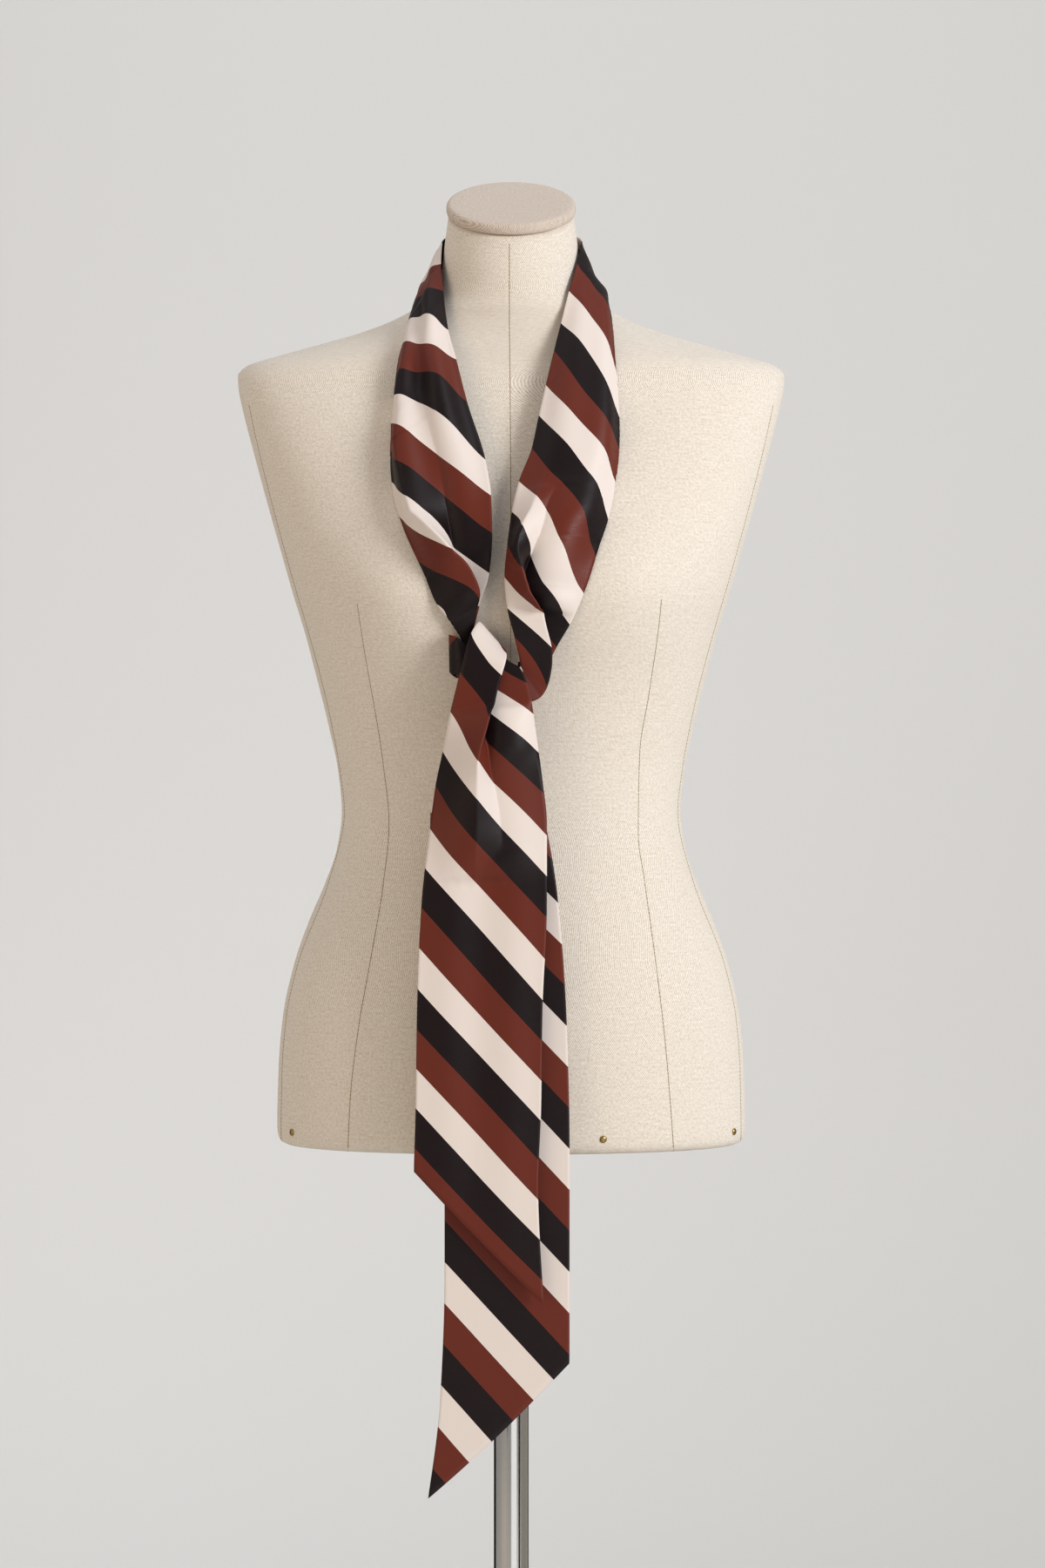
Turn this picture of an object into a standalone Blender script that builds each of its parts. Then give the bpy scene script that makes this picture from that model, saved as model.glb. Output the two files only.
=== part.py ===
"""A striped silk neck scarf, tied in one loose overhand knot on a linen dress form.

Units are metres, +Z is up, the front of the form faces -Y and the origin is the middle of the
base's underside. The form is a smooth bust on a chrome pole with a round base. The scarf is one
long strip of doubled silk. It lies round the back of the neck, its two halves come down the
chest, and the half on the +X side crosses over the other, passes behind it, comes up through
the neckline and falls over the front.

Lengths along the strip are counted in stripes, from the place where the strip's upper edge
leaves the neck at +X. They grow towards the front tail and fall towards the back tail. Each
section across the strip keeps the strip's true width: it is laid out in short steps, each one
turned by the folds that it crosses.
"""

import math
from collections import namedtuple

import bpy
import numpy as np
from mathutils import Vector

MM = 0.001

# Stand
POLE_RADIUS = 12.7 * MM
BASE_RADIUS = 160 * MM
BASE_THICKNESS = 9 * MM
HUB_RADIUS = 24 * MM
HUB_HEIGHT = 26 * MM
FLANGE_RADIUS = 42 * MM
FLANGE_THICKNESS = 5 * MM
SLEEVE_RADIUS = 19 * MM
SLEEVE_LENGTH = 45 * MM
SEAT_GAP = 0.3 * MM
TURNED_SIDES = 32

# Dress form
FORM_SIDES = 52
CAP_THICKNESS = 9 * MM
CAP_BORDER = 1.5 * MM
BUST_APART = 84
BUST_HEIGHT = 1243
BUST_DEPTH = 11
BUST_SPREAD = 46

# Nails along the hem: the angle round the form in degrees, from the front towards +X.
NAIL_ANGLES = (-128, -75, 34.5, 77, 128, 180)
NAIL_RADIUS = 2.6 * MM
NAIL_HEIGHT = 861 * MM
NAIL_DOME = 1.3 * MM
NAIL_SIDES = 10
NAIL_GAP = 0.5 * MM
NAIL_SEARCH = 250
NAIL_STEP = 0.7
NAIL_ROUNDS = 30

# Scarf
STRIP_WIDTH = 86 * MM
STRIPE = 27.85 * MM
WALL = 1.1 * MM
SEAM_GAP = 1.1 * MM
FOLD_SHARE = 0.032
BEND_SHARE = 0.6
CLEARANCE = 1.0 * MM
HEADING_STEPS = 160

# One ring of the form for each row, in millimetres: the height of its middle, its half width,
# how far it reaches to the front and to the back of its middle, where the middle lies from the
# pole's axis, how square it is (2 is an ellipse), and how far it leans forward, in degrees.
Ring = namedtuple("Ring", "height half_width front back middle power lean")
FORM_RINGS = [
    Ring(850.0, 165, 98, 99, 4, 2.2, 0),
    Ring(852.5, 169.5, 103, 104, 4, 2.2, 0),
    Ring(862, 171.3, 105, 106, 4, 2.2, 0),
    Ring(905, 170.3, 107, 109, 4, 2.2, 0),
    Ring(943, 167, 108, 110, 4, 2.2, 0),
    Ring(980, 159, 107, 106, 4, 2.2, 0),
    Ring(1012, 148, 104, 98, 4, 2.2, 0),
    Ring(1040, 136, 100, 88, 4, 2.2, 0),
    Ring(1066, 127.3, 96, 79, 4, 2.2, 0),
    Ring(1092, 124, 94, 74, 4, 2.2, 0),
    Ring(1120, 126.5, 95, 73, 4, 2.2, 0),
    Ring(1155, 133.7, 101, 76, 4, 2.3, 0),
    Ring(1190, 142.3, 111, 80, 4, 2.4, 0),
    Ring(1220, 150, 121, 84, 4, 2.5, 0),
    Ring(1250, 159, 126, 88, 4, 2.7, 0),
    Ring(1280, 167.5, 121, 92, 5, 2.9, 0),
    Ring(1315, 177.5, 109, 94, 7, 3.1, 0),
    Ring(1350, 187, 96, 94, 8, 3.3, 0),
    Ring(1380, 195, 84, 90, 9, 3.3, 0),
    Ring(1400, 199.5, 76, 86, 10, 3.1, 0),
    Ring(1411, 200.5, 71, 82, 10, 2.7, 0),
    Ring(1417.5, 195, 68.5, 79, 10, 2.4, 0),
    Ring(1424, 176, 66.5, 76, 10, 2.1, 0),
    Ring(1433, 145, 64, 72, 10, 1.85, 0),
    Ring(1442, 113, 62, 68, 9, 1.75, 0),
    Ring(1450, 91, 60, 64, 7, 1.8, 2),
    Ring(1459, 72.5, 57, 60, 3, 1.9, 4),
    Ring(1470, 58, 54, 57, 0, 2, 8),
    Ring(1486, 50.8, 51, 54, -5, 2, 14),
    Ring(1505, 48.6, 50.5, 51, -8, 2, 21),
    Ring(1527, 45.6, 49.5, 49.5, -10, 2, 27),
]

# One section across the strip for each row: the length along the strip in stripes, the upper
# and the lower edge's place in millimetres, the share of the width that shows before the lower
# margin turns under, the share at which the strip bends most, its soft waves in degrees, and
# the tuck: its turn in degrees, the share of the width where it starts, and the part of the
# spare width that it takes. A negative turn steps down towards the lower edge, a positive one
# steps up.
Section = namedtuple("Section", "along ux uy uz lx ly lz shows crest wave tuck start takes")
SECTIONS = [
    Section(-39.0, 42, -122, 598, -60, -122, 595, 1.00, 0.5, 0, 0, 0.50, 0.00),
    Section(-36.0, 41, -122, 684, -49, -122, 683, 1.00, 0.5, 0, 0, 0.50, 0.00),
    Section(-33.0, 41, -122, 771, -46, -122, 769, 1.00, 0.5, 0, 0, 0.50, 0.00),
    Section(-30.0, 41, -122, 857, -46, -122, 856, 1.00, 0.5, 0, 0, 0.50, 0.00),
    Section(-27.0, 39, -122, 943, -48, -122, 942, 1.00, 0.5, 0, 0, 0.50, 0.00),
    Section(-24.0, 33, -122, 1029, -54, -122, 1027, 1.00, 0.5, 0, 0, 0.46, 0.00),
    Section(-22.0, 23, -121, 1089, -56, -122, 1085, 1.00, 0.5, 0, 60, 0.44, 0.70),
    Section(-20.0, 4, -119.5, 1142, -44, -121.5, 1136, 0.90, 0.5, 0, 160, 0.34, 1.05),
    Section(-18.5, -16, -121, 1180, -32, -124.5, 1174, 0.50, 0.9, 0, 176, 0.17, 1.00),
    Section(-17.0, -26.5, -121, 1213, -33, -124.5, 1208, 0.29, 0.9, 0, 176, 0.10, 1.00),
    Section(-16.0, -22, -124.5, 1236, -40, -125.5, 1222, 0.58, 0.9, 0, 172, 0.18, 1.00),
    Section(-15.0, -15, -131, 1259, -51, -128.5, 1237, 0.92, 0.8, 5, 156, 0.29, 1.00),
    Section(-14.0, -13, -127, 1287, -60, -127, 1258, 1.00, 0.5, 8, 115, 0.36, 1.00),
    Section(-13.0, -14, -118, 1314, -75, -112, 1291, 1.00, 0.5, 14, 66, 0.38, 0.85),
    Section(-12.0, -18, -107, 1340, -83, -99, 1318, 1.00, 0.55, 24, 34, 0.40, 0.70),
    Section(-11.0, -31, -91, 1382, -85, -90, 1341, 1.00, 0.58, 34, 14, 0.42, 0.30),
    Section(-10.0, -39, -75, 1414, -85, -79, 1366, 0.94, 0.58, 38, 0, 0.48, 0.00),
    Section(-9.0, -45, -59, 1437, -83, -69, 1390, 0.85, 0.58, 30, 0, 0.48, 0.00),
    Section(-8.0, -49, -42, 1467, -81, -60, 1411, 0.82, 0.58, 20, 0, 0.48, 0.00),
    Section(-7.0, -51, -24, 1489, -76.5, -44, 1432, 0.775, 0.58, 9, 0, 0.48, 0.00),
    Section(-6.0, -50.5, -6, 1507, -72, -20, 1454, 0.68, 0.58, 8, 0, 0.48, 0.00),
    Section(-5.0, -44, 19, 1516, -67, 16, 1466, 0.65, 0.58, 8, 0, 0.48, 0.00),
    Section(-4.0, -26, 38, 1522, -55, 41, 1469, 0.71, 0.58, 8, 0, 0.48, 0.00),
    Section(-3.0, 0, 46, 1524, -33, 56, 1470, 0.76, 0.58, 8, 0, 0.48, 0.00),
    Section(-2.0, 26, 39, 1522, 3, 63, 1470, 0.755, 0.58, 14, 0, 0.48, 0.00),
    Section(-1.0, 45, 19, 1516, 38, 53, 1467, 0.72, 0.58, 14, 0, 0.44, 0.00),
    Section(0.0, 51.5, -8, 1508, 60, 27, 1463, 0.68, 0.58, 12, 0, 0.38, 0.00),
    Section(1.0, 48, -27, 1489, 67, 2, 1463, 0.55, 0.58, 12, 0, 0.34, 0.00),
    Section(2.0, 42, -42, 1467, 71, -20, 1457, 0.50, 0.58, 12, 0, 0.30, 0.00),
    Section(3.0, 36, -56, 1442, 73.5, -43, 1434, 0.54, 0.58, 12, 0, 0.28, 0.00),
    Section(4.0, 31, -69, 1421, 75, -61, 1407, 0.62, 0.58, 14, 0, 0.26, 0.00),
    Section(5.0, 25, -83, 1395, 76.5, -76, 1381, 0.71, 0.58, 14, 0, 0.25, 0.00),
    Section(6.0, 20, -96, 1372, 76.8, -84, 1361, 0.79, 0.58, 14, 0, 0.24, 0.00),
    Section(7.0, 15, -107, 1348, 76, -90, 1344, 0.84, 0.58, 12, 0, 0.23, 0.00),
    Section(8.0, 6, -116, 1324, 73.5, -97, 1324, 0.91, 0.56, 8, -6, 0.22, 0.00),
    Section(9.0, 1, -124, 1302, 69, -109, 1301, 0.96, 0.54, 6, -50, 0.21, 0.30),
    Section(10.0, -2, -131, 1279, 62, -121, 1279, 1.00, 0.50, 6, -92, 0.21, 0.85),
    Section(11.0, -4, -135.5, 1256, 53.5, -128, 1252, 1.00, 0.50, 4, -132, 0.25, 1.05),
    Section(12.0, -2, -137, 1234, 43, -126, 1227, 0.97, 0.85, 0, -155, 0.29, 1.08),
    Section(13.0, 3, -136, 1214, 30.5, -123, 1205, 0.86, 0.90, 0, -165, 0.29, 1.10),
    Section(14.0, 7, -132.5, 1194, 18, -124, 1178, 0.72, 0.90, 0, -172, 0.25, 1.10),
    Section(14.7, -4, -133, 1190, 8, -128.2, 1167, 0.75, 0.90, 0, -176, 0.25, 1.10),
    Section(15.4, -21.5, -133, 1201, -12.5, -129, 1173, 0.80, 0.90, 0, -176, 0.27, 1.10),
    Section(16.0, -37.5, -132, 1214, -32, -129.5, 1187, 0.80, 0.90, 0, -176, 0.27, 1.10),
    Section(16.35, -43, -124, 1216, -37, -124, 1188, 0.80, 0.90, 0, -176, 0.27, 1.10),
    Section(16.7, -36, -114, 1212, -32, -116, 1183, 0.80, 0.90, 0, -176, 0.27, 1.10),
    Section(17.15, -17, -114, 1213, -12, -116, 1184, 0.82, 0.90, 0, -176, 0.28, 1.10),
    Section(17.65, -21.5, -129.5, 1225, 0, -124, 1194, 0.88, 0.90, 0, -176, 0.30, 1.10),
    Section(18.05, -28, -138, 1215, 3.5, -133, 1194, 0.92, 0.90, 0, -176, 0.30, 1.10),
    Section(18.6, -32, -142, 1200.5, 8, -138.5, 1190, 0.97, 0.85, 0, -176, 0.30, 1.10),
    Section(19.4, -37.5, -142.5, 1178.5, 11.5, -139, 1181, 1.00, 0.80, 0, -170, 0.32, 1.10),
    Section(20.0, -41.5, -141.5, 1162, 14.5, -138.5, 1168, 1.00, 0.80, 0, -158, 0.35, 1.05),
    Section(21.0, -47, -137, 1134.5, 18.3, -135, 1142, 1.00, 0.70, 3, -105, 0.38, 0.95),
    Section(22.0, -52, -134, 1111, 22, -133, 1114, 1.00, 0.50, 4, -62, 0.40, 0.75),
    Section(23.0, -56, -132, 1081, 25, -132, 1085, 1.00, 0.50, 5, -30, 0.41, 0.50),
    Section(25.0, -62, -131, 1026, 25, -131, 1028, 1.00, 0.50, 7, 0, 0.42, 0.00),
    Section(27.5, -65, -131, 955, 22, -131, 956, 1.00, 0.50, 7, 0, 0.42, 0.00),
    Section(30.0, -66, -131, 886, 21, -131, 886, 1.00, 0.50, 5, 0, 0.42, 0.00),
    Section(32.0, -67.5, -131, 831, 19, -131, 831, 1.00, 0.50, 3, 0, 0.42, 0.00),
    Section(35.0, -68, -131, 747, 23, -131, 747, 1.00, 0.50, 0, 0, 0.42, 0.00),
]
WAVES_ACROSS = 2.0
LONGEST_TUCK = 0.34
LEAST_TURN = 0.05
WIDEST_ARCH = 1.5 * math.pi
FIT_ROUNDS = 26
STEPS_BEFORE_TUCK = 3
STEPS_AFTER_TUCK = 4
FOLD_STEPS = (-0.5, -0.17, 0.17, 0.5)

# One stretch of the strip for each row: where its upper and its lower edge start and end along
# the strip, how many steps it has along, and how much closer they lie at its start than at its
# end.
Stretch = namedtuple("Stretch", "node upper_start upper_end lower_start lower_end steps crowd")
STRETCHES = [
    Stretch("back_tail", -35.2, -18.6, -38.4, -18.6, 16, 0.55),
    Stretch("left_strand", -18.6, -6.0, -18.6, -6.0, 24, 1.0),
    Stretch("neck_wrap", -6.0, 2.0, -6.0, 2.0, 18, 1.0),
    Stretch("right_strand", 2.0, 13.8, 2.0, 13.8, 22, 0.9),
    Stretch("knot_band", 13.8, 17.0, 13.8, 17.0, 20, 1.0),
    Stretch("front_tail", 17.0, 31.6, 17.0, 34.9, 30, 2.1),
]


def make_material(name, color, roughness, metallic=0.0):
    """Return a plain Principled material."""
    material = bpy.data.materials.new(name)
    material.use_nodes = True
    shader = material.node_tree.nodes["Principled BSDF"]
    shader.inputs["Base Color"].default_value = (*color, 1.0)
    shader.inputs["Roughness"].default_value = roughness
    shader.inputs["Metallic"].default_value = metallic
    return material


def make_object(name, points, faces, material):
    """Return an object with these points and faces, shaded smooth."""
    mesh = bpy.data.meshes.new(name)
    mesh.from_pydata([tuple(p) for p in points], [], [tuple(f) for f in faces])
    mesh.update()
    mesh.materials.append(material)
    mesh.shade_smooth()
    mesh.set_sharp_from_angle(angle=math.radians(40))
    solid = bpy.data.objects.new(name, mesh)
    bpy.context.collection.objects.link(solid)
    return solid


def turned(name, profile, sides, material):
    """Turn a profile of (radius, height) points, listed upwards, round the Z axis."""
    points = []
    for radius, height in profile:
        for side in range(sides):
            angle = 2 * math.pi * side / sides
            points.append((radius * math.cos(angle), radius * math.sin(angle), height))
    return make_object(name, points, loft_faces(len(profile), sides), material)


def loft_faces(rings, sides):
    """Faces of a closed skin over stacked rings, with a flat lid at each end."""
    faces = [tuple(reversed(range(sides)))]
    for ring in range(rings - 1):
        for side in range(sides):
            low = ring * sides + side
            low_next = ring * sides + (side + 1) % sides
            faces.append((low, low_next, low_next + sides, low + sides))
    faces.append(tuple(range((rings - 1) * sides, rings * sides)))
    return faces


def ring_points(ring):
    """Points of one ring of the form, anticlockwise from +X seen from above."""
    points = []
    for side in range(FORM_SIDES):
        angle = 2 * math.pi * side / FORM_SIDES
        cosine = math.cos(angle)
        sine = math.sin(angle)
        x = ring.half_width * math.copysign(abs(cosine) ** (2 / ring.power), cosine)
        reach = ring.back if sine > 0 else ring.front
        y = reach * math.copysign(abs(sine) ** (2 / ring.power), sine)
        lean = math.radians(ring.lean)
        z = ring.height + y * math.sin(lean)
        y = ring.middle + y * math.cos(lean)
        if sine < 0:
            away = ((abs(x) - BUST_APART) / BUST_SPREAD) ** 2
            away += ((z - BUST_HEIGHT) / BUST_SPREAD) ** 2
            y -= BUST_DEPTH * math.exp(-away)
        points.append((x * MM, y * MM, z * MM))
    return points


def make_form(linen):
    """The bust: stacked rings from the hem to the top of the neck, and the neck's cap."""
    points = []
    for ring in FORM_RINGS:
        points += ring_points(ring)
    make_object("torso", points, loft_faces(len(FORM_RINGS), FORM_SIDES), linen)

    top = FORM_RINGS[-1]
    lean = math.radians(top.lean)
    rings = [
        (SEAT_GAP, 0.97),
        (SEAT_GAP + 0.6 * MM, 1.03),
        (CAP_THICKNESS - CAP_BORDER, 1.04),
        (CAP_THICKNESS, 1.0),
    ]
    cap_points = []
    for rise, scale in rings:
        for side in range(FORM_SIDES):
            angle = 2 * math.pi * side / FORM_SIDES
            across = top.half_width * MM * scale * math.cos(angle)
            forward = top.front * MM * scale * math.sin(angle)
            y = top.middle * MM + forward * math.cos(lean) - rise * math.sin(lean)
            z = top.height * MM + forward * math.sin(lean) + rise * math.cos(lean)
            cap_points.append((across, y, z))
    make_object("neck_cap", cap_points, loft_faces(len(rings), FORM_SIDES), linen)


def make_stand(chrome):
    """The base disc with its hub, the pole, and the sleeve under the form."""
    bevel = 1.5 * MM
    base = [
        (BASE_RADIUS - bevel, 0),
        (BASE_RADIUS, bevel),
        (BASE_RADIUS, BASE_THICKNESS - bevel),
        (BASE_RADIUS - bevel, BASE_THICKNESS),
        (HUB_RADIUS, BASE_THICKNESS),
        (HUB_RADIUS, BASE_THICKNESS + HUB_HEIGHT - bevel),
        (HUB_RADIUS - bevel, BASE_THICKNESS + HUB_HEIGHT),
    ]
    turned("base", base, TURNED_SIDES, chrome)
    hem = FORM_RINGS[0].height * MM - SEAT_GAP
    foot = BASE_THICKNESS + HUB_HEIGHT + SEAT_GAP
    sleeve_low = hem - FLANGE_THICKNESS - SLEEVE_LENGTH
    pole = [(POLE_RADIUS, foot), (POLE_RADIUS, sleeve_low - SEAT_GAP)]
    turned("pole", pole, TURNED_SIDES, chrome)
    sleeve = [
        (SLEEVE_RADIUS - bevel, sleeve_low),
        (SLEEVE_RADIUS, sleeve_low + bevel),
        (SLEEVE_RADIUS, hem - FLANGE_THICKNESS),
        (FLANGE_RADIUS, hem - FLANGE_THICKNESS),
        (FLANGE_RADIUS, hem),
    ]
    turned("sleeve", sleeve, TURNED_SIDES, chrome)


class Skin:
    """The form's surface, for finding how far outside it a point lies."""

    def __init__(self):
        heights = np.array([ring.height for ring in FORM_RINGS], float)
        self.heights = heights
        self.columns = {
            name: np.array([getattr(ring, name) for ring in FORM_RINGS], float)
            for name in Ring._fields
        }

    def value(self, name, height):
        return np.interp(height, self.heights, self.columns[name])

    def level(self, points):
        """Below 1 inside the form and above 1 outside it, for points in millimetres."""
        x, y, z = points[..., 0], points[..., 1], points[..., 2]
        height = z
        for _ in range(4):
            slope = np.tan(np.radians(self.value("lean", height)))
            height = z - (y - self.value("middle", height)) * slope
        lean = np.cos(np.radians(self.value("lean", height)))
        forward = (y - self.value("middle", height)) / lean
        front = forward < 0
        away = ((np.abs(x) - BUST_APART) / BUST_SPREAD) ** 2
        away += ((z - BUST_HEIGHT) / BUST_SPREAD) ** 2
        forward = forward + np.where(front, BUST_DEPTH * np.exp(-away), 0)
        reach = np.where(front, self.value("front", height), self.value("back", height))
        power = self.value("power", height)
        side = np.abs(x) / self.value("half_width", height)
        return (side ** power + np.abs(forward / reach) ** power) ** (1 / power)

    def distance(self, points):
        """Distance outside the surface, near it, and the direction that leads away from it."""
        step = 0.5
        level = self.level(points)
        slopes = []
        for axis in range(3):
            shift = np.zeros(3)
            shift[axis] = step
            slopes.append((self.level(points + shift) - self.level(points - shift)) / (2 * step))
        gradient = np.stack(slopes, axis=-1)
        size = np.maximum(np.linalg.norm(gradient, axis=-1), 1e-4)
        return (level - 1) / size, gradient / size[..., None]


def edge_distance(row):
    """The straight distance between a section's two edges, in millimetres."""
    return math.dist((row.ux, row.uy, row.uz), (row.lx, row.ly, row.lz))


def tuck_end(row):
    """The share of the width where a section's tuck ends."""
    spare = max(row.shows - edge_distance(row) * MM / STRIP_WIDTH, 0) * row.takes
    length = spare / max(1 - math.cos(math.radians(row.tuck)), LEAST_TURN)
    return row.start + min(max(length, 2 * FOLD_SHARE), LONGEST_TUCK)


def section_shape(row):
    """A section across the strip, in millimetres: steps away from the upper edge, and outward.

    The strip bends outward as one arch, whose strength makes the ends fit the two edges.
    """
    steps = HEADING_STEPS
    share = (np.arange(steps) + 0.5) / steps
    tuck = smooth((share - row.start) / FOLD_SHARE + 0.5)
    tuck = tuck - smooth((share - tuck_end(row)) / FOLD_SHARE + 0.5)
    under = smooth((share - row.shows) / FOLD_SHARE + 0.5) if row.shows < 0.999 else 0 * share
    bend = smooth((share / row.shows - row.crest) / BEND_SHARE + 0.5)
    waves = np.radians(row.wave) * np.sin(2 * np.pi * WAVES_ACROSS * share / row.shows)
    visible = share < row.shows
    chord = edge_distance(row)
    length = STRIP_WIDTH / MM / steps

    def path(arch):
        heading = np.radians(row.tuck) * tuck - np.pi * under
        heading = heading - arch * bend + waves
        return np.cumsum(np.exp(1j * heading)) * length

    low, high = 0.0, WIDEST_ARCH
    for _ in range(FIT_ROUNDS):
        middle = (low + high) / 2
        if abs(path(middle)[visible][-1]) > chord:
            low = middle
        else:
            high = middle
    line = np.concatenate([[0], path(low)])
    end = line[1:][visible][-1]
    return line * max(chord / abs(end), 1.0) * abs(end) / end


def smooth(value):
    """Ease from 0 to 1."""
    value = np.clip(value, 0, 1)
    return value * value * (3 - 2 * value)


class Strip:
    """The whole strip as one surface over its length in stripes and its share of the width."""

    def __init__(self, skin, spacing=0.1):
        self.skin = skin
        along = np.array([row.along for row in SECTIONS])
        table = np.array([list(row) for row in SECTIONS], float)
        self.grid = np.arange(along[0], along[-1] + spacing / 2, spacing)
        rows = np.stack([eased(self.grid, along, table[:, i]) for i in range(table.shape[1])], 1)
        self.rows = rows
        upper = rows[:, 1:4]
        lower = rows[:, 4:7]
        across = lower - upper
        travel = np.gradient((upper + lower) / 2, axis=0)
        outward = np.cross(travel, across)
        outward /= np.linalg.norm(outward, axis=1)[:, None]
        across_unit = across / np.linalg.norm(across, axis=1)[:, None]
        self.points = []
        for index, values in enumerate(rows):
            shape = section_shape(Section(*values))
            line = upper[index] + shape.real[:, None] * across_unit[index]
            line = line + shape.imag[:, None] * outward[index]
            self.points.append(line)
        self.points = np.array(self.points)
        for _ in range(3):
            gap, away = skin.distance(self.points)
            need = (WALL / 2 + CLEARANCE) / MM - gap
            self.points += np.maximum(need, 0)[..., None] * away

    def section(self, along):
        """The section at one place along the strip."""
        return Section(*(self.column(name, along) for name in Section._fields))

    def column(self, name, along):
        """One column of the table of sections, eased between its rows."""
        return np.interp(along, self.grid, self.rows[:, Section._fields.index(name)])

    def at(self, along, share):
        """Points of the strip's middle surface, in millimetres."""
        spacing = self.grid[1] - self.grid[0]
        row = np.clip((along - self.grid[0]) / spacing, 0, len(self.grid) - 1.001)
        column = np.clip(share * HEADING_STEPS, 0, HEADING_STEPS - 1e-6)
        r, c = row.astype(int), column.astype(int)
        fr, fc = (row - r)[..., None], (column - c)[..., None]
        near = self.points[r, c] * (1 - fc) + self.points[r, c + 1] * fc
        far = self.points[r + 1, c] * (1 - fc) + self.points[r + 1, c + 1] * fc
        return near * (1 - fr) + far * fr


def eased(x, knots, values):
    """A smooth curve through the values that never overshoots them."""
    width = np.diff(knots)
    rise = np.diff(values) / width
    slope = np.zeros(len(knots))
    for i in range(1, len(knots) - 1):
        if rise[i - 1] * rise[i] > 0:
            before = 2 * width[i] + width[i - 1]
            after = width[i] + 2 * width[i - 1]
            slope[i] = (before + after) / (before / rise[i - 1] + after / rise[i])
    slope[0], slope[-1] = rise[0], rise[-1]
    i = np.clip(np.searchsorted(knots, x) - 1, 0, len(width) - 1)
    t = (x - knots[i]) / width[i]
    start = (1 + 2 * t) * (1 - t) ** 2 * values[i] + t * (1 - t) ** 2 * width[i] * slope[i]
    end = t * t * (3 - 2 * t) * values[i + 1] + t * t * (t - 1) * width[i] * slope[i + 1]
    return start + end


def make_stretch(strip, stretch, silk):
    """One stretch of the strip as a closed wall. The margin that turns under is left off."""
    gap = SEAM_GAP / STRIPE / 2
    rows = np.linspace(0, 1, stretch.steps + 1)[:, None] ** stretch.crowd
    middle_line = (stretch.upper_start + stretch.lower_start) / 2 * (1 - rows)
    middle_line = middle_line + (stretch.upper_end + stretch.lower_end) / 2 * rows
    columns = np.array([stretch_shares(strip, value) for value in middle_line[:, 0]])
    start = stretch.upper_start + (stretch.lower_start - stretch.upper_start) * columns + gap
    end = stretch.upper_end + (stretch.lower_end - stretch.upper_end) * columns - gap
    along = start + (end - start) * rows
    middle = strip.at(along, columns)
    travel = strip.at(along + 0.06, columns) - strip.at(along - 0.06, columns)
    shown = strip.column("shows", along)
    ahead = np.minimum(columns + 0.01, np.where(shown < 0.999, shown - FOLD_SHARE / 2, 1.0))
    behind = np.minimum(columns - 0.01, ahead - 0.02)
    across = strip.at(along, ahead) - strip.at(along, behind)
    outward = np.cross(travel, across)
    outward /= np.linalg.norm(outward, axis=2)[..., None]
    front = middle + outward * WALL / MM / 2
    back = middle - outward * WALL / MM / 2
    points = np.concatenate([front.reshape(-1, 3), back.reshape(-1, 3)]) * MM
    wide = columns.shape[1]
    count = wide * (stretch.steps + 1)
    faces = []
    for i in range(stretch.steps):
        for j in range(wide - 1):
            a = i * wide + j
            faces.append((a, a + wide, a + wide + 1, a + 1))
            faces.append((a + count, a + 1 + count, a + wide + 1 + count, a + wide + count))
    rim = [j for j in range(wide)]
    rim += [i * wide + wide - 1 for i in range(1, stretch.steps + 1)]
    rim += [stretch.steps * wide + j for j in range(wide - 2, -1, -1)]
    rim += [i * wide for i in range(stretch.steps - 1, 0, -1)]
    for a, b in zip(rim, rim[1:] + rim[:1]):
        faces.append((a, b, b + count, a + count))
    return make_object(stretch.node, points, faces, silk)


def stretch_shares(strip, along):
    """Shares of the width for a stretch's columns, closer together where the tuck folds."""
    shows = strip.column("shows", along)
    if shows < 0.999:
        shows -= FOLD_SHARE / 2
    start = strip.column("start", along)
    end = tuck_end(strip.section(along))
    fold = np.array(FOLD_STEPS) * FOLD_SHARE
    before = np.linspace(0, start + fold[0], STEPS_BEFORE_TUCK + 1)[:-1]
    after = np.linspace(end + fold[-1], shows, STEPS_AFTER_TUCK + 1)[1:]
    return np.concatenate([before, start + fold, end + fold, after])


def make_nails(brass, skin):
    """Domed nails that stand on the cloth just above the hem."""
    for number, angle in enumerate(NAIL_ANGLES, 1):
        turn = math.radians(angle)
        ray = np.array([math.sin(turn), -math.cos(turn), 0.0])
        point = np.array([0.0, 0.0, NAIL_HEIGHT / MM]) + ray * NAIL_SEARCH
        for _ in range(NAIL_ROUNDS):
            gap, _ = skin.distance(point)
            point = point - ray * gap * NAIL_STEP
        nail = [
            (NAIL_RADIUS, 0),
            (NAIL_RADIUS * 0.75, NAIL_DOME * 0.7),
            (NAIL_RADIUS * 0.3, NAIL_DOME),
        ]
        solid = turned("nail_%d" % number, nail, NAIL_SIDES, brass)
        _, away = skin.distance(point)
        solid.rotation_euler = Vector(away).to_track_quat("Z", "Y").to_euler()
        solid.location = Vector(point * MM) + Vector(away) * NAIL_GAP


def main():
    for old in list(bpy.data.objects):
        bpy.data.objects.remove(old, do_unlink=True)
    linen = make_material("linen", (0.72, 0.66, 0.56), 0.9)
    chrome = make_material("chrome", (0.55, 0.55, 0.55), 0.18, 1.0)
    brass = make_material("brass", (0.45, 0.33, 0.14), 0.35, 1.0)
    silk = make_material("silk", (0.147, 0.028, 0.016), 0.45)
    skin = Skin()
    make_form(linen)
    make_stand(chrome)
    make_nails(brass, skin)
    strip = Strip(skin)
    for stretch in STRETCHES:
        make_stretch(strip, stretch, silk)


main()
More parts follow.
